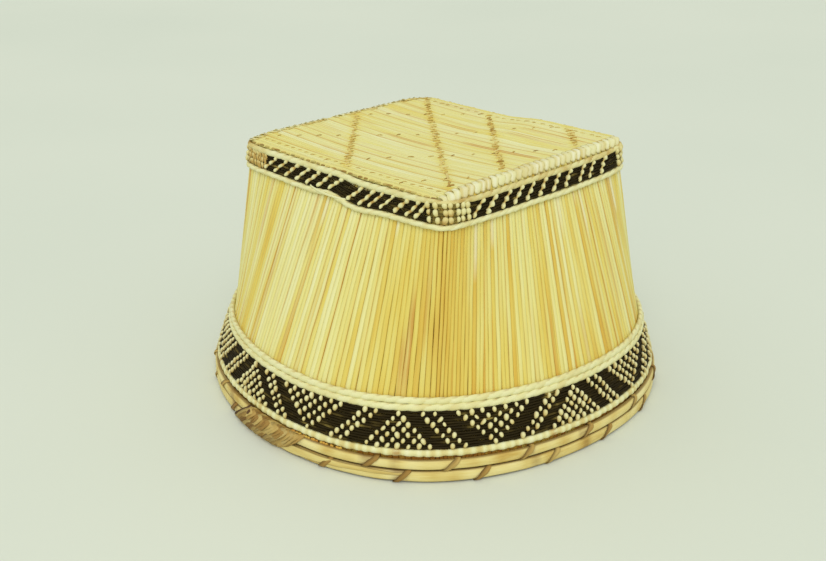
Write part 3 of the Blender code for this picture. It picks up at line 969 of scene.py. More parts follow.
    def values(self, centre: Array, straw: Array, on_far: Array, on_panel: Array) -> dict[str, Array]:
        """The material's numbers at the straws' points.

        Args:
            centre: Path points.
            straw: Straw number at each path point.
            on_far: Whether each row is on the far wall, where the straws' numbers run the other way.
            on_panel: How far each row is on the base, from 0 to 1.

        Returns:
            Tone, seed, stain, husk, and the painted shade along the seams.
        """
        count, total = straw.shape
        along = np.linspace(0, 0.65, total)
        height = centre[..., 2] / self.panel_top
        # Straws below 23 mm, under the beaded row, are darker: the ends' own ochre, and painted shade in
        # that recess.
        wall_tone = self.tone[straw] + 0.12 * (0.7 - height) + 0.5 * (centre[..., 2] < 0.023)
        left_end = smooth_step((-centre[..., 0] - 0.07) / 0.045)
        panel_tone = 0.02 + (0.40 + 0.2 * left_end) * self.base_tone[straw] + 0.06 * self.tone[straw]
        # On the base, darker along the dense rows: ochre stain and painted shade.
        tone = wall_tone * (1 - on_panel) + (panel_tone + self.sewn_stain_and_shade(centre)) * on_panel
        tone = tone + 0.1 * self.ripple(count, along, (0.21, 0.08))
        stain = self.rust[straw] * smooth_step(0.3 + self.ripple(count, along, (0.3, 0.12)))
        across, _ = section(self.around, self.wall_power)
        stain = (stain * (1 - 0.8 * on_panel))[..., None]
        stain = stain + (self.panel_stains(centre) * on_panel)[..., None] * smooth_step((0.9 - across) / 1.1)
        # Painted shade along each straw's two sides, where it meets its neighbours.
        seams = np.stack([straw, (straw + 1) % self.shape.straws], -1)
        seams = np.where(on_far[..., None], seams[..., ::-1], seams)
        dark = self.dark[seams] * (1 - on_panel)[:, None] + self.base_dark[seams] * on_panel[:, None]
        seam = np.where(across > 0, dark[..., :1], dark[..., 1:])
        seam = seam * smooth_step((np.abs(across) - 0.55 + 0.35 * on_panel[:, None]) / 0.45)
        return {"tone": tone[..., None], "seed": self.seeds(count), "stain": stain,
                "husk": self.husks(centre, straw)[..., None], "seam": np.clip(seam, 0, 1)}

    def sewn_stain_and_shade(self, centre: Array) -> Array:
        """How much darker the base's straws are by the dense rows, a bell curve of the distance to each: an
        ochre stain and painted shade in the dips that the rows press in.
        """
        x, y = centre[..., 0], centre[..., 1]
        return sum(0.3 * np.exp(-((y - offset - slope * x) / 0.0042) ** 2) for offset, slope in DENSE_ROWS)

    def husks(self, centre: Array, straws: Array) -> Array:
        """Whitish papery skin that hangs down some straws from the narrow band.

        Args:
            centre: Path points of the straws.
            straws: Straw number at each point.

        Returns:
            Strength at each point.
        """
        foot = span("top_band_cord")[0]
        below = (foot - centre[..., 2]) / self.husk_length[straws]
        hanging = smooth_step((1 - below) * 4) * (centre[..., 2] < foot + 0.004)
        return np.where(self.husk_chance[straws] > 0.93, 0.7 * hanging, 0.0)

    def panel_stains(self, centre: Array) -> Array:
        """Strength of the base's stains at points of the straws, with soft ends."""
        total = np.zeros(centre.shape[:2])
        if self.layer is Layer.OUTER:
            for stain in BASE_STAINS:
                inside = np.minimum(centre[..., 0] - stain.start, stain.end - centre[..., 0])
                near = np.abs(centre[:, centre.shape[1] // 2, 1] - stain.place) < 0.0036
                total += 1.2 * stain.strength * smooth_step(inside / 0.012 + 0.4) * near[:, None]
        return total

    def slip_sheet(self) -> Sheet:
        """Slips of straw that taper upwards to a point between two neighbours."""
        share = np.linspace(0, 1, 14)
        height = self.slip_tips[:, None] + (self.end_height - self.slip_tips[:, None]) * share
        unit = np.broadcast_to(self.slips[:, None].astype(float), height.shape)
        unit = unit + self.parting(unit, height)
        centre = self.shape.wall(unit, height, -self.thickness / 2 - 0.0002)
        reach = self.shape.wall(unit + 0.5, height, -0.002) - self.shape.wall(unit - 0.5, height, -0.002)
        half = np.linalg.norm(reach, axis=-1) / 2 * self.slip_widths[:, None] * share + 0.0003
        facing = self.shape.outward(unit, height)
        points = tube(centre, facing, half, self.thickness / 2 * (0.75 + 0.25 * share), self.around,
                      self.wall_power)
        count = len(self.slips)
        return Sheet(points, {"tone": self.rng.uniform(0.5, 0.9, (count, 1, 1)),
                              "seed": self.seeds(count),
                              "stain": self.rng.uniform(0, 0.6, (count, 1, 1))})


@dataclass(frozen=True)
class Cord:
    """Where a light cord runs, and how it differs from the CAD cord's even line.

    Attributes:
        node: CAD node that gives the heights.
        on_wall: Whether it is on the walls' upper part and not on the flare.
        foot_rise: Rise of its lower side at a corner.
        top_rise: Rise of its upper side at a corner.
        top_drop: Drop of its upper side along the short edges.
        slack: Share that it has of the front wall's slack.
        shade: How much darker it is along the short edges.
        corner_shade: How much darker it is at a corner.
    """

    node: str
    on_wall: bool = False
    foot_rise: float = 0.0
    top_rise: float = 0.0
    top_drop: float = 0.0
    slack: float = 0.0
    shade: float = 0.0
    corner_shade: float = 0.0


CORDS = (
    Cord("band_lower_cord"), Cord("band_upper_cord"),
    Cord("edge_cord", True, 0.0044, 0.0022, 0.0008, 0.45, 0.3, 0.5),
    Cord("top_band_cord", True, 0.001, 0.001, slack=1.0),
)


@dataclass
class CordWork(Work):
    """The light twined cords: two strands each, laid round one another as they pass the straws.

    Attributes:
        crown: How far the cords stand off the straws.
        lay: Distance along a cord for one full turn of its strands.
        lay_rows: Stations along one full turn.
        lump: Distance between the lumps of the beaded row.
    """

    crown: float = 0.0041
    lay: float = 0.021
    lay_rows: int = 14
    lump: float = 0.0082

    def twist(self, cord: Cord) -> list[Sheet]:
        """Two strands that turn about each other, so closely that the cord is almost smooth.

        Strand centres circle the cord's middle, up and down and in and out, half a turn apart.

        Args:
            cord: Where the cord runs.

        Returns:
            The strands outside and inside.
        """
        shape = self.shape
        base_edges = 2 * (shape.base_length + shape.base_width)
        lays = round((base_edges if cord.on_wall else FULL_TURN * shape.mouth_radius) / self.lay)
        rows = lays * self.lay_rows
        way = stations(rows)
        angle = FULL_TURN * way
        turn = lays * angle + np.array([[0.0], [math.pi]]) + 0.5 * self.ring_ripple(angle, (7, 19))
        unit = way * shape.straws
        low, high = span(cord.node)
        level = np.abs(shape.outline(unit)[1][:, 0])
        low = low + cord.foot_rise * shape.corner_rise(unit)
        high = high + cord.top_rise * shape.corner_rise(unit) - cord.top_drop * level
        half = (high - low) / 2 * (1 + 0.06 * self.ring_ripple(angle, (31, 83), 2))
        height = (low + high) / 2 + cord.slack * shape.slack(unit) + half * 0.17 * np.sin(turn)
        height = height + 0.0003 * self.ring_ripple(angle, (5, 13))
        tone = 0.42 + 0.26 * self.ring_ripple(angle, (11, 29, 61), 2)
        tone = tone + np.maximum(cord.shade * level, cord.corner_shade * shape.near_corner(unit, 5.0))
        # Painted shade along the strands' upper and lower sides where one laps the other, in the crease
        # between them.
        lapped = smooth_step(0.2 - np.cos(turn))[..., None]
        fill, power, faced_at = (0.95, 2.0, shape.wall_top) if cord.on_wall else (1.1, 2.7, None)
        sink = shape.corner_sink(unit) if cord.on_wall else 0.0
        values = {"tone": tone[..., None], "seed": np.array([3.0, 47.0])[:, None, None],
                  "seam": 0.5 * lapped * near_sides(8, 0.3)}
        sheets = []
        for side, middle, deep in ((1, 0.46 * self.crown - sink, 0.45 * self.crown),
                                   (-1, -BEHIND - 0.0004, 0.0011)):
            centre, outward = shape.course(way, height, middle + 0.16 * deep * np.cos(turn), faced_at)
            points = tube(centre, side * outward, half * fill, deep, 8, power, closed=True)
            sheets.append(Sheet(points, values, ringed=True))
        return sheets

    def beaded_row(self) -> list[Sheet]:
        """The light row under the wide band: one strand that swells into a lump between its ties.

        The half height and depth follow the size of a sine, with a floor, so that the lumps are low and the
        ties between them narrow. The strand shows outside and again inside.
        """
        low, high = span("beaded_row")
        lumps = round(FULL_TURN * self.shape.mouth_radius / self.lump)
        rows = lumps * 6
        way = stations(rows)
        angle = FULL_TURN * way
        wave = np.abs(np.sin(math.pi * lumps * way + 0.9 * self.ring_ripple(angle, (9, 23, 51))))
        swell = (0.85 + 0.15 * wave) * (1 + 0.08 * self.ring_ripple(angle, (41, 67)))
        half = (high - low) / 2 * swell
        middle = (low + high) / 2 + 0.0003 * self.ring_ripple(angle, (6, 17))
        # Each lump is paler at its crest: a painted highlight.
        tone = 0.66 - 0.46 * wave ** 6 + 0.2 * self.ring_ripple(angle, (13, 37))
        worn = 0.8 * smooth_step(self.ring_ripple(angle, (10, 27, 58)) * 4 - 2.6)
        values = {"tone": tone[..., None], "seed": 11.0, "stain": worn[..., None]}
        thick = (self.crown + 0.0004) / 2 * swell
        sheets = []
        for side, deep, stand_off in ((1, thick, thick), (-1, 0.0011, -BEHIND - 0.0004)):
            centre, outward = self.shape.course(way, middle, stand_off)
            points = tube(centre, side * outward, half, deep, 10, 2.3, closed=True)
            sheets.append(Sheet(points, values, ringed=True))
        return sheets

    def build(self) -> None:
        """Builds the beaded row and the four cords."""
        weave("beaded_row_cord", self.beaded_row(), TWISTED_FIBRE, ["beaded_row"])
        for cord in CORDS:
            weave(f"{cord.node}_strands", self.twist(cord), TWISTED_FIBRE, [cord.node])


@dataclass
class WideBand(Work):
    """The wide black band: seven twined rows with a light strand that shows as beads.

    The light strand comes forward at chosen straws. The pattern repeats eight times: a triangle that points
    down, two lines that fall to the left, a triangle that points up and two that fall to the right.

    Attributes:
        rows: Twined rows.
        repeats: Times that the pattern goes round.
        first: Angle of one triangle that points down.
        crowding: Width of the triangle that points up as a share of the other's.
        bead_width: Width of a bead.
    """

    rows: int = 7
    repeats: int = 8
    first: float = math.radians(-31.2)
    crowding: float = 0.84
    bead_width: float = 0.0036

    def bead_places(self) -> tuple[Array, Array]:
        """Row numbers and angles of the beads, worked out in straws from the first triangle's middle."""
        places = []
        last = self.rows - 1
        step = self.shape.straws / self.repeats
        for row in range(self.rows):
            down = np.arange(-(last - row), last - row + 1, 2)
            falling_left = 11.4 - 0.95 * row + np.array([-0.9, 0.9])
            up = 16.1 + self.crowding * np.arange(-row, row + 1, 2)
            falling_right = 21 + 0.8 * row + np.array([-0.95, 0.95])
            units = np.concatenate([down, falling_left, up, falling_right])
            units = (units[:, None] + step * np.arange(self.repeats)).ravel()
            places += [(row, unit) for unit in units]
        row, units = np.array(places).T
        return row.astype(int), self.first + units * FULL_TURN / self.shape.straws

    def beads(self) -> Sheet:
        """Every bead as a short upright stitch over its row, round at the top and narrower below."""
        row, angle = self.bead_places()
        count = len(row)
        straw = FULL_TURN / self.shape.straws
        low, high = np.array([span(f"band_strand_{number + 1}") for number in range(self.rows)]).T
        angle = angle + self.rng.normal(0, 0.08, count) * straw
        size = self.rng.normal(1, 0.12, count).clip(0.75, 1.25)
        middle = (low[row] + high[row]) / 2 + self.rng.normal(0.0001, 0.0002, count)
        half = (high[row] - low[row]) / 2 * size
        lean = self.rng.normal(0.05, 0.13, count) * straw
        start = self.shape.flare(angle - lean, middle - half, 0.0016)
        end = self.shape.flare(angle + lean, middle + half, 0.0021)
        facing = self.shape.ring_outward(angle)
        points = stitches(start, end, facing, 0.0016, self.bead_width / 2 * size, 7, 8, 0.72, 0.5)
        # Each bead is darker towards its lower end, painted shade under its round top, with painted shade
        # along its sides.
        tone = self.rng.beta(2, 4, (count, 1, 1)) * 0.6 + 0.85 * np.linspace(1, 0, 7)[:, None] ** 1.2
        return Sheet(points, {"tone": tone, "seed": self.seeds(count),
                              "seam": 0.75 * near_sides(8, 0.5)})

    def build(self) -> None:
        """Builds the black rows and the beads on them."""
        nodes = [f"band_strand_{row + 1}" for row in range(self.rows)]
        sheets = []
        for row, node in enumerate(nodes):
            sheets += self.black_row(node, 5.0 * row + 2.0, False)
        weave("wide_band_strands", sheets, BLACK_FIBRE, nodes)
        weave("wide_band_beads", [self.beads()], TWISTED_FIBRE)


@dataclass(frozen=True)
class Strokes:
    """The light strokes on one wall's narrow band.

    Attributes:
        middles: Straw numbers at which the strokes cross the middle row.
        shift: Straws by which a stroke moves from one row to the row above.
        width: Width of a stroke where it crosses a row.
        waist: Share of that width that is left between rows.
        first_corner: Straws of close beading after the wall's first corner.
        last_corner: Straws of close beading before its last corner.
        thin_start: Whether the first corner has thin upright ties in place of beads.
    """

    middles: tuple[float, ...]
    shift: float
    width: float
    waist: float
    first_corner: float
    last_corner: float
    thin_start: bool


# The two walls in the photograph, read off it, and the two behind, which are taken to be alike.
RIGHT_STROKES = Strokes((9.5, 13.6, 18.3, 22.6, 26.8, 31.4, 36.2, 40.6, 45.9, 49.6, 54.5), 1.25, 0.0044,
                        0.36, 7.0, 3.5, False)
FRONT_STROKES = Strokes((10.4, 14.1, 18.0, 21.8, 25.5, 29.5, 33.0, 39.3, 43.1, 46.0, 49.2, 53.1, 56.6, 59.2),
                        1.4, 0.0036, 0.58, 8.5, 3.6, True)
WALL_STROKES = (RIGHT_STROKES, RIGHT_STROKES, FRONT_STROKES, FRONT_STROKES)


@dataclass
class NarrowBand(Work):
    """The narrow black band under the base's edge, with light strands in slanted strokes.

    Attributes:
        rows: Twined rows.
        lift: How far the strokes lie above the rows' CAD middles.
        bead_length: Length of a bead at a corner.
        bead_width: Width of such a bead.
        bead_step: Straws between such beads.
        thin_length: Length of a thin tie at a corner.
        thin_width: Width of such a tie.
        thin_step: Straws between such ties.
        loose_run: Straws between which a light strand has come loose on the front wall.
        loose_height: Height of that strand.
    """

    rows: int = 3
    lift: float = 0.0013
    bead_length: float = 0.0045
    bead_width: float = 0.0041
    bead_step: float = 1.6
    thin_length: float = 0.0058
    thin_width: float = 0.0029
    thin_step: float = 0.98
    loose_run: tuple[float, float] = (25.0, 37.5)
    loose_height: float = 0.2014

    def __post_init__(self) -> None:
        """Reads the rows' middles, from the top row down."""
        self.levels = np.array([sum(span(f"top_band_strand_{row + 1}")) / 2 for row in range(self.rows)])

    def raised(self, unit: Array, row: Array) -> Array:
        """How far a row lies above its CAD place.

        It is the front wall's slack, and a rise at the corners that is larger for the upper rows.
        """
        return self.shape.slack(unit) + self.shape.corner_rise(unit) * (0.0050 - 0.00165 * row)

    def strokes(self) -> Sheet:
        """The slanted strokes: one strand each, fat over a row and thin between rows.

        The swelling is a raised cosine of the way along, with a crest on each row.
        """
        places = [(face * self.shape.face_straws + middle, strokes.shift, strokes.width, strokes.waist)
                  for face, strokes in enumerate(WALL_STROKES) for middle in strokes.middles]
        middle, shift, width, waist = np.array(places).T[..., None]
        count = len(middle)
        way = np.linspace(-1.44, 1.44, 22)[None]
        crest = (1 + np.cos(FULL_TURN * way)) / 2
        fade = smooth_step((1.5 - np.abs(way)) / 0.25)
        unit = middle + self.rng.normal(0, 0.15, (count, 1)) + shift * way
        unit = unit + 0.18 * self.ripple(count, way, (2.1, 0.9))
        pitch = (self.levels[0] - self.levels[2]) / 2 + 0.00035
        height = self.levels[1] + self.lift + pitch * way + self.raised(unit, 1 - way)
        size = self.rng.normal(1, 0.09, (count, 1)) * (1 + 0.12 * self.ripple(count, way, (0.8,)))
        half = width / 2 * size * (waist + (1 - waist) * crest) * (0.4 + 0.6 * fade)
        centre = self.shape.wall(unit, height, 0.0014 + (0.0011 + 0.0006 * crest) * fade)
        points = tube(centre, self.shape.outward(unit, height), half, half * 0.85, 8)
        # A stroke is darker where it dips between rows, and along its sides: painted shade.
        tone = 0.2 + self.rng.beta(2, 4, (count, 1)) * 0.45 + 0.6 * (1 - crest)
        return Sheet(points, {"tone": tone[..., None], "seed": self.seeds(count),
                              "seam": 0.45 * near_sides(8, 0.6)})

    def corner_ties(self) -> tuple[Sheet, Sheet]:
        """Small round beads at the corners, and thin ties where a wall's first corner has those."""
        found = []
        for face, strokes in enumerate(WALL_STROKES):
            start = face * self.shape.face_straws
            end = start + self.shape.face_straws
            step = self.thin_step if strokes.thin_start else self.bead_step
            first = np.arange(start + 0.95, start + strokes.first_corner, step)
            last = np.arange(end - 0.1, end - strokes.last_corner, -self.bead_step)
            for row in range(self.rows):
                for units, thin in ((first, strokes.thin_start), (last, False)):
                    found += [(row, unit + 0.2 * row, thin) for unit in units]
        row, unit, thin = np.array(found).T
        row = row.astype(int)
        count = len(row)
        unit = unit + self.rng.normal(0, 0.12, count)
        size = self.rng.normal(1, 0.1, count).clip(0.75, 1.25)
        middle = self.levels[row] + 0.0004 + self.raised(unit, row)
        half = np.where(thin, self.thin_length, self.bead_length) / 2 * size
        lean = self.rng.normal(-0.12, 0.12, count) - 0.35 * thin
        sink = self.shape.corner_sink(unit)
        start = self.shape.wall(unit - lean, middle - half, 0.0014 - sink)
        end = self.shape.wall(unit + lean, middle + half, 0.0018 - sink)
        facing = self.shape.outward(unit, middle)
        wide = np.where(thin, self.thin_width, self.bead_width) / 2 * size
        points = stitches(start, end, facing, np.where(thin, 0.0006, 0.0018), wide, 7, 8, 0.75, 0.3)
        tone = (0.28 + 0.25 * thin + self.rng.beta(2, 4, count) * 0.5)[:, None, None]
        # Each tie is darker towards its lower end: painted shade under its top.
        tone = tone + 0.65 * np.linspace(1, 0, 7)[:, None] ** 1.3
        seed = self.seeds(count)
        return tuple(Sheet(points[kept], {"tone": tone[kept], "seed": seed[kept]})
                     for kept in (thin == 0, thin == 1))

    def loose_strand(self) -> Sheet:
        """A light strand that hangs loose over the front wall's rows, diving in at both ends."""
        share = np.linspace(0, 1, 22)[None]
        arch = np.sin(math.pi * share)
        start, end = self.loose_run
        unit = 3 * self.shape.face_straws + start + share * (end - start)
        height = self.loose_height - 0.0016 * (share - 0.3) - 0.0007 * arch
        centre = self.shape.wall(unit, height, 0.0012 + 0.0038 * np.sqrt(arch))
        points = tube(centre, self.shape.outward(unit, height), 0.0011 * (0.6 + 0.4 * arch), 0.0007, 8)
        return Sheet(points, {"tone": 0.2 + 0.1 * arch[..., None], "seed": 17.0})

    def brown_share(self, unit: Array) -> Array:
        """How far a place is inside the close beading at a corner, from 0 to 1, with soft ends."""
        face = np.floor(unit / self.shape.face_straws).astype(int) % 4
        within = unit % self.shape.face_straws
        corners = [(strokes.first_corner, strokes.last_corner) for strokes in WALL_STROKES]
        first, last = np.array(corners)[face].T
        beaded = np.maximum(first - within, within - (self.shape.face_straws - last))
        return np.clip(beaded / 1.5, 0, 1)

    def build(self) -> None:
        """Builds the strands, black on the walls and brown round the corners, and their ties."""
        nodes = [f"top_band_strand_{row + 1}" for row in range(self.rows)]
        unit = np.arange(ROW_STATIONS) * self.shape.straws / ROW_STATIONS
        sheets = []
        for row, node in enumerate(nodes):
            sheets += self.black_row(node, 4.0 * row + 1.0, True, self.raised(unit, row),
                                     self.brown_share(unit))
        weave("narrow_band_strands", sheets, BLACK_FIBRE, nodes)
        weave("narrow_band_strokes", [self.strokes(), self.loose_strand()], TWISTED_FIBRE)
        weave("narrow_band_corner_ties", self.corner_ties(), TWISTED_FIBRE)


@dataclass
class Rim(Work):
    """Two split canes round the mouth and one inside, lashed on with strips of bark.

    Attributes:
        inner: Stand-off of the outer canes' flat side.
        width: Thickness of the outer canes.
        inside: Stand-off of the inner cane's far side.
        inside_width: Thickness of the inner cane.
        skin: Distance from a cane to the middle of a strip of bark on it.
        pressed_below: Height below which the floor has pressed the bark flat.
        lashings: Turns of bark round each cane.
        upper_turn: Angle of one turn on the upper cane.
        lower_turn: Angle of one turn on the lower cane.
        lash_advance: Angle that a lashing gains over a cane's face.
        splice: Angles between which bark covers the canes' ends.
        splice_advance: Angle that a turn over the splice gains.
        splice_lift: How far the wrapping bulges outward in its middle.
        splice_turns: Turns over the splice.
        tongue: Angles between which the lower cane's cut end laps over it.
        straw_ends: Angles between which straw ends stick out above the upper cane.
        end_count: Number of those ends.
        bark: Half thickness of a strip of bark.
        strip: Half width of a strip on the outer canes.
        inside_strip: Half width of one on the inner cane.
        splice_strip: Half width of one over the splice.
    """

    inner: float = 0.00215
    width: float = 0.0052
    inside: float = -0.0104
    inside_width: float = 0.0058
    skin: float = 0.00055
    pressed_below: float = 0.0007
    lashings: int = 20
    upper_turn: float = math.radians(-60)
    lower_turn: float = math.radians(-70.8)
    lash_advance: float = 0.05
    splice: tuple[float, float] = (math.radians(-104.2), math.radians(-77.8))
    splice_advance: float = 0.135
    splice_lift: float = 0.0024
    splice_turns: int = 19
    tongue: tuple[float, float] = (math.radians(-86), math.radians(-52))
    straw_ends: tuple[float, float] = (math.radians(-81), math.radians(-67))
    end_count: int = 17
    bark: float = 0.0004
    strip: float = 0.0024
    inside_strip: float = 0.0026
    splice_strip: float = 0.0042

    def cane(self, node: str, seed: float) -> Sheet:
        """A split cane: flat inside, rounded outside, uneven in height and depth along its length."""
        low, high = span(node)
        way = stations(CANE_STATIONS)
        angle = FULL_TURN * way
        uneven = self.ring_ripple(angle, (5, 11, 19))
        fine = self.ring_ripple(angle, (27, 43, 64))
        half = (high - low) / 2 * (1 + 0.05 * uneven + 0.03 * fine)
        deep = self.width / 2 * (1 + 0.08 * self.ring_ripple(angle, (7, 15, 33)))
        middle = (low + high) / 2 + 0.00025 * self.ring_ripple(angle, (6, 14, 31))
        middle = np.maximum(middle, low + half - 0.0004)
        centre, outward = self.shape.course(way, middle, self.inner + self.width / 2)
        points = tube(centre, outward, half, deep, 14, 2.7, closed=True)
        knot = smooth_step(self.ring_ripple(angle, (8, 21, 47)) * 2.4 - 0.9)
        tone = 0.34 + 0.24 * uneven + 0.18 * fine
        # Painted shade along the cane's upper and lower edges.
        return Sheet(points, {"tone": tone[..., None], "seed": seed, "stain": 0.55 * knot[..., None],
                              "seam": 0.75 * near_sides(14, 0.72)}, ringed=True)

    def inner_cane(self) -> Sheet:
        """The cane inside the straws' ends, which carries the basket."""
        low, high = span("inner_rim_hoop")
        way = stations(CANE_STATIONS)
        half = (high - low) / 2 - self.skin
        centre, outward = self.shape.course(way, (low + high) / 2, self.inside + self.inside_width / 2)
        points = tube(centre, -outward, half, self.inside_width / 2 - self.skin, 12, 3.0, closed=True)
        tone = 0.5 + 0.2 * self.ring_ripple(FULL_TURN * way, (5, 11, 23))
        return Sheet(points, {"tone": tone[..., None], "seed": 71.0}, ringed=True)

    def lap(self) -> Sheet:
        """The lower cane's cut end, a thin tongue that laps over it to the right of the splice.

        Its lower edge goes from the cane's foot to the middle in a smooth step, and its thickness falls
        evenly to nothing.
        """
        low, high = span("lower_rim_hoop")
        share = np.linspace(0, 1, 40)[None]
        angle = self.tongue[0] + share * (self.tongue[1] - self.tongue[0])
        foot = low + 0.0003 + (high - low) * (0.1 + 0.5 * smooth_step(share / 0.8)) - 0.0009 * (1 - share)
        top = high + 0.0001 - (high - low) * 0.12 * smooth_step((share - 0.7) / 0.3)
        middle = (foot + top) / 2 + 0.0002 * self.ripple(1, share * 0.09, (0.04, 0.017))
        deep = 0.0009 * (1 - 0.75 * share) * (0.15 + 0.85 * smooth_step(share / 0.15))
        centre = self.shape.flare(angle, middle, self.inner + self.width + 0.3 * deep)
        points = tube(centre, self.shape.ring_outward(angle), (top - foot) / 2, deep, 10, 3.4)
        # Painted shade along the tongue's upper and lower edges.
        return Sheet(points, {"tone": 0.34 + 0.16 * share[..., None], "seed": 23.0,
                              "seam": 0.8 * near_sides(10, 0.8),
                              "stain": 0.3 * smooth_step(share * 3 - 2)[..., None]})

    def ends(self) -> Sheet:
        """Cut ends of straws that stick out between the upper cane and the beaded row."""
        count = self.end_count
        low = span("upper_rim_hoop")[1]
        angle = np.linspace(*self.straw_ends, count) + self.rng.normal(0, 0.004, count)
        foot = self.shape.flare(angle, low - 0.002, 0.0012)
        tip = self.shape.flare(angle + self.rng.normal(0, 0.008, count), low + 0.0012, 0.0034)
        half = self.rng.uniform(0.0012, 0.0019, count)
        points = stitches(foot, tip, self.shape.ring_outward(angle), 0.0007, half, 5, 8, 0.6, 0.5)
        return Sheet(points, {"tone": self.rng.uniform(0.7, 1.0, (count, 1, 1)), "seed": 9.0,
                              "stain": self.rng.uniform(0.2, 0.9, (count, 1, 1))})

    def wraps(self, low: float, high: float, centres: Array, advance: float, half_width: float,
              lift: Number = 0.0, outer: bool = True) -> Sheet:
        """Turns of bark round canes between two heights.

        The path is a superellipse round the canes. Over the face it gains the advance evenly with height, so
        that the strip slants up to the right, and behind it goes straight up. Close to the floor the heights
        fall off exponentially, so that the bark is pressed flat and stays above it.

        Args:
            low: Foot of what is wrapped.
            high: Top of what is wrapped.
            centres: Angle of each turn.
            advance: Angle gained in one turn.
            half_width: Half width of the strip.
            lift: Extra stand-off of each turn on the face.
            outer: Whether the wrapped canes are the outer ones.

        Returns:
            The turns.
        """
        count = len(centres)
        back, width = (self.inner, self.width) if outer else (self.inside, self.inside_width - 2 * self.skin)
        share = np.linspace(0, 1, 29)[None]
        turn = FULL_TURN * (share - 0.5)
        out, rise = squarish(turn, 3.2)
        out = out if outer else -out
        lift = np.broadcast_to(lift, count)[:, None]
        height = (low + high) / 2 + rise * ((high - low) / 2 + self.skin)
        stand_off = back + width / 2 + out * (width / 2 + self.skin) + lift * np.clip(out, 0, 1)
        if outer:
            stand_off = np.maximum(stand_off, self.inner - 0.0009)
        gained = np.where(np.cos(turn) >= 0, rise, np.sign(turn))
        angle = centres[:, None] + advance / 2 * gained
        centre = self.shape.flare(angle, height, stand_off)
        facing = self.shape.ring_outward(angle) * out[..., None] + UP * rise[..., None]
        wide = half_width * (1 + 0.14 * self.ripple(count, share * 0.04, (0.02, 0.009)))
        points = tube(centre, unit_length(facing), wide, self.bark, 8, 3.0)
        pressed = np.exp(np.minimum(points[..., 2] / self.pressed_below - 1, 0))
        points[..., 2] = np.maximum(points[..., 2], self.pressed_below * (0.1 + 0.9 * pressed))
        # One side of each strip is darker, painted shade, and the other side stays pale.
        across, _ = section(8)
        edge = 0.75 * smooth_step((across - 0.1) / 0.9)
        tone = self.rng.uniform(0.1, 0.6, (count, 1, 1))
        return Sheet(points, {"tone": tone, "seed": self.seeds(count), "seam": edge})

    def lashing(self, node: str, first: float) -> list[Sheet]:
        """The turns round one cane and the strip that runs on behind it."""
        low, high = span(node)
        centres = first + np.arange(self.lashings) * FULL_TURN / self.lashings
        away = (centres - sum(self.splice) / 2 + math.pi) % FULL_TURN - math.pi
        centres = centres[np.abs(away) > (self.splice[1] - self.splice[0]) / 2 + 0.03]
        centres = centres + self.rng.normal(0, 0.006, len(centres))
        turns = self.wraps(low, high, centres, self.lash_advance, self.strip)
        way = stations(ROW_STATIONS)
        run, outward = self.shape.course(way, (low + high) / 2, self.inner - 0.001)
        behind = tube(run, outward, 0.002, self.bark, 6, 3.0, closed=True)
        return [turns, Sheet(behind, {"tone": 0.6, "seed": 31.0}, ringed=True)]

    def splice_wraps(self) -> Sheet:
        """Bark wound closely over both canes, each turn lapping the one before."""
        low = span("lower_rim_hoop")[0]
        high = span("upper_rim_hoop")[1]
        ends = self.splice_advance / 2
        centres = np.linspace(self.splice[0] + ends, self.splice[1] - ends, self.splice_turns)
        centres = centres + self.rng.normal(0, 0.003, len(centres))
        bulge = np.sin(math.pi * np.linspace(0.04, 0.96, len(centres))) ** 0.5
        lift = self.splice_lift * bulge + 0.0003 * (np.arange(len(centres)) % 3)
        sheet = self.wraps(low, high, centres, self.splice_advance, self.splice_strip, lift)
        tone = self.rng.uniform(0.05, 0.6, (len(centres), 1, 1))
        tone[0] = 1.0
        husk = 0.5 * (self.rng.random(tone.shape) > 0.85)
        # The painted shade on the strips' one side is weaker over the splice.
        sheet.values |= {"tone": tone, "husk": husk, "seam": 0.6 * sheet.values["seam"]}
        return sheet

    def inside_lashing(self) -> Sheet:
        """The turns that tie the inner cane, one for each outer lashing."""
        low, high = span("inner_rim_hoop")
        centres = self.upper_turn + np.arange(self.lashings) * FULL_TURN / self.lashings
        clear = self.skin + 0.0005
        return self.wraps(low + clear, high - clear, centres, -self.lash_advance, self.inside_strip,
                          outer=False)

    def build(self) -> None:
        """Builds the canes, their lashings and the wrapped splice."""
        weave("upper_rim_cane", [self.cane("upper_rim_hoop", 13.0)], SPLIT_CANE, ["upper_rim_hoop"])
        weave("lower_rim_cane", [self.cane("lower_rim_hoop", 57.0), self.lap()], SPLIT_CANE,
              ["lower_rim_hoop"])
        weave("inner_rim_cane", [self.inner_cane()], SPLIT_CANE, ["inner_rim_hoop"])
        weave("rim_straw_ends", [self.ends()], DRY_STRAW)
        for part, turn in (("upper", self.upper_turn), ("lower", self.lower_turn)):
            weave(f"{part}_rim_bark", self.lashing(f"{part}_rim_hoop", turn), BARK_STRIP,
                  [f"{part}_rim_lashing"])
        weave("inner_rim_bark", [self.inside_lashing()], BARK_STRIP)
        weave("rim_splice_bark", [self.splice_wraps()], BARK_STRIP, ["rim_splice_wrapping"])


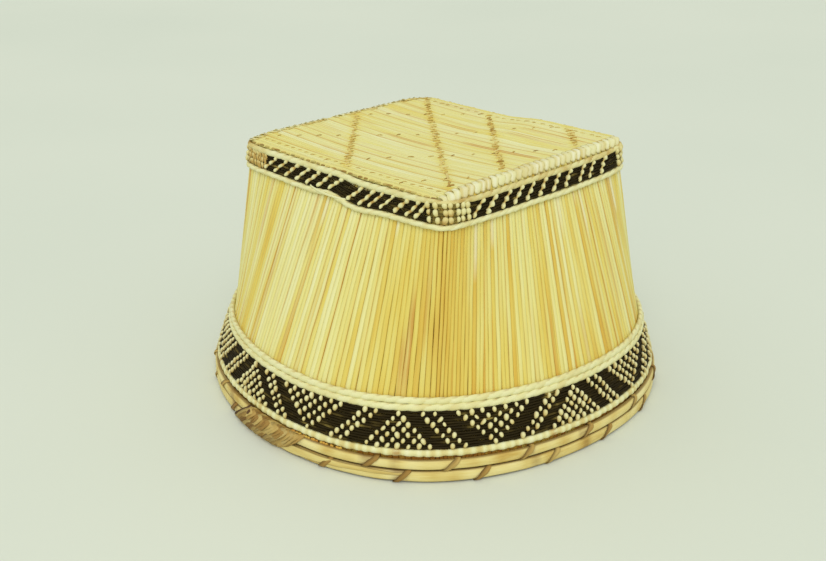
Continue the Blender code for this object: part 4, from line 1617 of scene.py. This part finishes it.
@dataclass
class BaseStitching(Work):
    """The sewing of the base: diagonal rows, wraps over the short edges and a row on each long edge.

    Attributes:
        sparse: Offsets of the sparse rows, on lines where Y is the offset and 1.2 times X.
        pair: Distance between pairs of straws.
        inset: How far the heads of the edge wraps lie inside the short edges.
        wraps: Wraps over each short edge, one for each pair of straws.
        wrap_lean: How far a wrap goes to the front on its way down.
        wrap_width: Width of a wrap.
        wrap_fall: Angle of the bend that a wrap follows.
        edge_dashes: Rusty stitches along each long edge.
        sunk: How deep the stitches' ends lie in the straws.
    """

    sparse: tuple[float, ...] = (-0.185, -0.076, 0.034, 0.140, 0.235)
    pair: float = 0.00681
    inset: float = 0.0099
    wraps: int = 32
    wrap_lean: float = 0.0065
    wrap_width: float = 0.0080
    wrap_fall: float = math.radians(62)
    edge_dashes: int = 34
    sunk: float = 0.0005

    def dashes(self, centre: Array, along: Array, length: float, half_width: float, tone: Array,
               below: bool = False) -> Sheet:
        """Small stitches that lie on the base.

        Args:
            centre: Middle of each stitch, stitches x 2.
            along: Direction of each stitch, stitches x 2.
            length: Length of a stitch.
            half_width: Half width of a stitch.
            tone: Tone of each stitch.
            below: Whether they lie on the inside of the base.

        Returns:
            The stitches.
        """
        count = len(centre)
        top = span("base_outer_straws_1")[1] - self.sunk
        under = span("base_inner_straws_1")[0] + self.sunk
        length = length * self.rng.normal(1, 0.12, (count, 1)).clip(0.7, 1.35)
        reach = unit_length(along) * length / 2
        level = (under if below else top) + self.shape.lift(*centre.T)[:, None]
        start = np.concatenate([centre - reach, level], 1)
        end = np.concatenate([centre + reach, level], 1)
        points = stitches(start, end, -UP if below else UP, 0.0007, half_width, 6, 6, 0.6)
        return Sheet(points, {"tone": tone[:, None, None], "seed": self.seeds(count),
                              "stain": self.rng.uniform(0, 0.15, (count, 1, 1))})

    def diagonal(self, offset: float, slope: float, step: float, length: float, half_width: float,
                 tones: tuple[float, float], below: bool = False) -> Sheet:
        """One diagonal row, with a stitch for each pair of straws that it crosses."""
        limit_x = self.shape.base_length / 2 - self.inset - 0.004
        limit_y = self.shape.base_width / 2 - 0.009
        rows = np.arange(-limit_y, limit_y, step)
        x = (rows - offset) / slope
        centre = np.stack([x, rows], -1)[np.abs(x) < limit_x]
        centre = centre + self.rng.normal(0, 0.0005, centre.shape)
        along = np.array((0.1, 1.0)) + self.rng.normal(0, 0.3, centre.shape)
        tone = self.rng.uniform(*tones, len(centre))
        tone = tone + 0.3 * self.ripple(1, centre[:, 1], (0.09, 0.034))[0]
        return self.dashes(centre, along, length, half_width, tone, below)

    def edge_wraps(self, side: float, inset: float, depth: float, raised: float) -> tuple[Sheet, Sheet]:
        """The wraps over a short edge, and the stitch that goes round the head of some of them.

        A wrap lies flat from its head to where the straws bend, and follows their quarter ellipse for two
        thirds of it. A stitch is half a circle about the head.

        Args:
            side: 1 for the right edge and -1 for the left.
            inset: How far the heads lie inside the edge.
            depth: Half depth of a wrap.
            raised: Height of a wrap's middle above the straws.

        Returns:
            The wraps and the stitches.
        """
        shape = self.shape
        count = self.wraps
        top = span("base_outer_straws_1")[1]
        half_run = shape.base_width / 2 - 0.0045
        run = np.linspace(-half_run, half_run, count) + self.rng.normal(0, 0.0004, count)
        run = run[self.rng.random(count) > 0.06][:, None]
        count = len(run)
        fall = np.clip(np.abs(run) - shape.base_width / 2 + shape.corner_radius, 0, None) ** 2
        bend_from = shape.base_length / 2 - shape.edge_bend
        bend_from = bend_from - shape.base_sharpness * fall / 2 / shape.corner_radius
        head = shape.base_length / 2 - inset + self.rng.normal(0, 0.0006, (count, 1))
        crown = top + shape.lift(side * bend_from, run)
        drop = crown - shape.wall_top
        turn = np.concatenate([np.zeros(3), np.linspace(0, self.wrap_fall, 8)])[None]
        flat = np.concatenate([np.linspace(0, 1, 4)[:-1], np.ones(8)])[None]
        reach = head + (bend_from - head) * flat + shape.edge_bend * np.sin(turn)
        level = crown - drop * (1 - np.cos(turn))
        facing = unit_length(np.stack([side * drop * np.sin(turn), np.zeros_like(level),
                                       shape.edge_bend * np.cos(turn) + 0 * drop], -1))
        share = np.linspace(0.04, 0.97, reach.shape[1])[None]
        swell = np.sin(math.pi * share) ** 0.22
        leaning = np.clip(run - self.wrap_lean * (share - 0.3), -half_run, half_run)
        path = np.stack([side * reach, leaning, level], -1)
        half = self.wrap_width / 2 * self.rng.normal(1, 0.1, (count, 1)) * swell
        half = half * (1 + 0.08 * self.ripple(count, share, (0.9, 0.4)))
        pads = tube(path + facing * raised, facing, half, depth * swell, 12, 2.4)
        bow = np.linspace(-0.5, 0.5, 9)[None] * math.pi
        radius = self.wrap_width / 2
        arc_x = side * (head + inset - self.inset - 0.0004 + radius * 0.8 * (1 - np.cos(bow)))
        arc_y = run + 0.3 * self.wrap_lean + radius * np.sin(bow)
        arc = np.stack([arc_x, arc_y, top + shape.lift(arc_x, arc_y) + 0.0002], -1)
        arc = arc[self.rng.random(count) > 0.5]
        thread = tube(arc, UP, 0.0004, 0.0004, 6)
        across, _ = section(12)
        # A whitish streak along the middle of each pad, carried by the husk value, is a painted highlight;
        # its sides get painted shade.
        middle = smooth_step((0.7 - np.abs(across + self.rng.normal(0, 0.25, (count, 1, 1)))) / 0.6)
        return (Sheet(pads, {"tone": self.rng.uniform(0.45, 0.8, (count, 1, 1)),
                             "seam": 0.2 * near_sides(12, 0.75), "seed": self.seeds(count),
                             "husk": self.rng.uniform(0.3, 1.0, (count, 1, 1)) * middle}),
                Sheet(thread, {"tone": self.rng.uniform(0.0, 0.4, (len(arc), 1, 1)), "seed": 3.0}))

    def long_edge(self, node: str, side: float) -> list[Sheet]:
        """The straw along a long edge, with brown stitches under it and faint ones a little further in."""
        low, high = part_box(node)
        middle_y = side * (self.shape.base_width / 2 - 0.0014)
        middle_z = low[2] + (high[2] - low[2]) * 0.52
        outward = unit_length(np.array((0.0, side * 0.8, 0.6)))
        run = np.linspace(low[0], high[0], 60)[None]
        wave = self.ripple(1, run, (0.06, 0.021))
        level = middle_z - 0.0003 + 0.0002 * wave + self.shape.lift(run, middle_y)
        core = np.stack([run, np.full_like(run, middle_y), level], -1)
        sheets = [Sheet(tube(core, outward, 0.0023, 0.0014, 8),
                        {"tone": 0.1 * wave[..., None], "seed": 41.0, "husk": 1.3})]
        run = np.linspace(low[0] + 0.002, high[0] - 0.002, self.edge_dashes)
        run = run + self.rng.normal(0, 0.0009, self.edge_dashes)
        level = middle_z + self.shape.lift(run, middle_y) + self.rng.normal(-0.0003, 0.00015, len(run))
        centre = np.stack([run, np.full_like(run, middle_y + side * 0.0015), level], -1)
        slant = self.rng.uniform(0.7, 1.3, (len(run), 1)) * np.array((0.0028, 0.0, 0.0004))
        points = stitches(centre - slant, centre + slant, outward, 0.0009, 0.0008, 6, 6)
        sheets.append(Sheet(points, {"tone": self.rng.uniform(0.3, 1.0, (len(run), 1, 1)),
                                     "seed": self.seeds(len(run)),
                                     "husk": self.rng.uniform(0.0, 0.7, (len(run), 1, 1))}))
        run = np.arange(low[0] + 0.006, high[0] - 0.006, 0.0092)
        inset = np.full_like(run, side * (self.shape.base_width / 2 - 0.0115))
        centre = np.stack([run, inset], -1) + self.rng.normal(0, 0.0004, (len(run), 2))
        along = np.array((1.0, 0.5)) + self.rng.normal(0, 0.1, centre.shape)
        sheets.append(self.dashes(centre, along, 0.0046, 0.0005, self.rng.uniform(0.1, 0.5, len(run))))
        return sheets

    def build(self) -> None:
        """Builds the rows, the wraps and the long edges."""
        for number, (offset, slope) in enumerate(DENSE_ROWS):
            sheets = [self.diagonal(offset, slope, 0.75 * self.pair, length=0.0072, half_width=0.0011,
                                    tones=(0.0, 0.55)),
                      self.diagonal(offset, slope, self.pair, length=0.0060, half_width=0.0006,
                                    tones=(0.2, 0.8), below=True)]
            weave(f"dense_base_stitches_{number + 1}", sheets, BROWN_FIBRE,
                  [f"base_stitching_{number + 1}"])
        sparse = [self.diagonal(offset, 1.2, 2 * self.pair, length=0.0056, half_width=0.00055,
                                tones=(0.25, 0.75)) for offset in self.sparse]
        weave("sparse_base_stitches", sparse, BROWN_FIBRE)
        for name, side, inset, depth, raised in (("right", 1.0, self.inset, 0.0006, 0.0001),
                                                 ("left", -1.0, 0.0045, 0.0004, -0.0003)):
            pads, threads = self.edge_wraps(side, inset, depth, raised)
            weave(f"{name}_edge_wraps", [pads], TWISTED_FIBRE)
            weave(f"{name}_edge_stitches", [threads], BROWN_FIBRE, [f"{name}_edge_stitching"])
        for name, side in (("front", -1.0), ("back", 1.0)):
            node = f"{name}_edge_stitching"
            weave(f"{name}_edge_stitches", self.long_edge(node, side), BROWN_FIBRE, [node])


@dataclass
class Studio:
    """A pale floor, soft even light and the camera at the photograph's viewpoint.

    Attributes:
        place: Camera position.
        ahead: Direction the camera looks in.
        roll: Turn about that direction.
        lens: Focal length on the 36 mm wide frame.
        shift_y: Sensor shift as a share of the width.
        reach: Half size of the floor.
    """

    place: tuple[float, float, float] = (0.6381, -0.6550, 0.4764)
    ahead: tuple[float, float, float] = (-0.6555, 0.6458, -0.3915)
    roll: float = math.radians(-0.31)
    lens: float = 46.24
    shift_y: float = -0.0018
    reach: float = 30.0

    def camera(self) -> None:
        """Places the camera, its axes worked out from the direction and the roll."""
        data = bpy.data.cameras.new("camera")
        data.lens = self.lens
        data.sensor_width = 36.0
        data.sensor_fit = "HORIZONTAL"
        data.shift_y = self.shift_y
        data.clip_start = 0.01
        ahead = Vector(self.ahead).normalized()
        level = ahead.cross(Vector(UP)).normalized()
        upright = level.cross(ahead)
        right = level * math.cos(self.roll) + upright * math.sin(self.roll)
        axes = Matrix((right, right.cross(ahead), -ahead)).transposed().to_4x4()
        camera = bpy.data.objects.new("camera", data)
        camera.matrix_world = Matrix.Translation(self.place) @ axes
        bpy.context.scene.collection.objects.link(camera)
        bpy.context.scene.camera = camera

    def floor(self) -> None:
        """A wide sheet of pale matt paper, faintly uneven in tone."""
        way = np.linspace(-self.reach, self.reach, 9)
        grid_x, grid_y = np.meshgrid(way, way, indexing="ij")
        points = np.stack([grid_x, grid_y, np.zeros_like(grid_x)], -1)
        numbers, _ = Sheet(points[None], tubular=False).quads()
        mesh = bpy.data.meshes.new("paper_floor")
        mesh.from_pydata(points.reshape(-1, 3), [], numbers[:, ::-1].tolist())
        material = bpy.data.materials.new("matt_paper")
        material.use_nodes = True
        tree = material.node_tree
        shader = tree.nodes["Principled BSDF"]
        place = add_node(tree, "TexCoord", out="Object")
        noise = add_node(tree, "TexNoise", {"Vector": place, "Scale": 1.3, "Detail": 2.0}, out="Fac")
        colour = add_node(tree, "ValToRGB", {0: noise}, ((0.3, "#DDE2D9"), (0.7, "#E1E5DC")))
        tree.links.new(colour, shader.inputs["Base Color"])
        shader.inputs["Roughness"].default_value = 0.9
        shader.inputs["Specular IOR Level"].default_value = 0.1
        mesh.materials.append(material)
        floor = bpy.data.objects.new("paper_floor", mesh)
        bpy.context.scene.collection.objects.link(floor)

    def lamp(self, name: str, kind: str, place: tuple[float, float, float], energy: float, colour: str,
             **settings: float) -> None:
        """A lamp that points at the basket.

        Args:
            name: Name of the lamp.
            kind: Blender's kind of lamp.
            place: Where it stands.
            energy: Its energy.
            colour: Its colour.
            settings: Further settings, such as its size or angle.
        """
        data = bpy.data.lights.new(name, kind)
        data.energy = energy
        data.color = linear(colour)[:3]
        for key, value in settings.items():
            setattr(data, key, value)
        lamp = bpy.data.objects.new(name, data)
        toward = Vector((0, 0, 0.1)) - Vector(place)
        lamp.matrix_world = Matrix.Translation(place) @ toward.to_track_quat("-Z", "Y").to_matrix().to_4x4()
        bpy.context.scene.collection.objects.link(lamp)

    def build(self) -> None:
        """Sets the camera, the floor, the lamps and surroundings as bright as the floor."""
        self.camera()
        self.floor()
        self.lamp("soft_sky", "SUN", (2.0, -2.2, 3.8), 1.0, "#FFFDF4", angle=math.radians(40))
        self.lamp("soft_front", "AREA", (1.3, -1.3, 1.0), 3.0, "#FFFDF6", size=1.0)
        world = bpy.data.worlds.new("surroundings")
        world.use_nodes = True
        background = world.node_tree.nodes["Background"]
        background.inputs["Color"].default_value = linear("#D3D8CE")
        background.inputs["Strength"].default_value = 1.0
        bpy.context.scene.world = world
        bpy.context.scene.view_settings.view_transform = "Standard"


def main() -> None:
    """Builds the camera first, then every sub-assembly from the straws out."""
    logging.basicConfig(level=logging.INFO, format="%(message)s")
    shape = BasketShape()
    Studio().build()
    works = ((StrawLayer, Layer.OUTER), (StrawLayer, Layer.INNER), (CordWork,), (WideBand,), (NarrowBand,),
             (Rim,), (BaseStitching,))
    for number, (work, *options) in enumerate(works):
        work(shape, np.random.default_rng(SEED + number), *options).build()


if __name__ == "__main__":
    main()
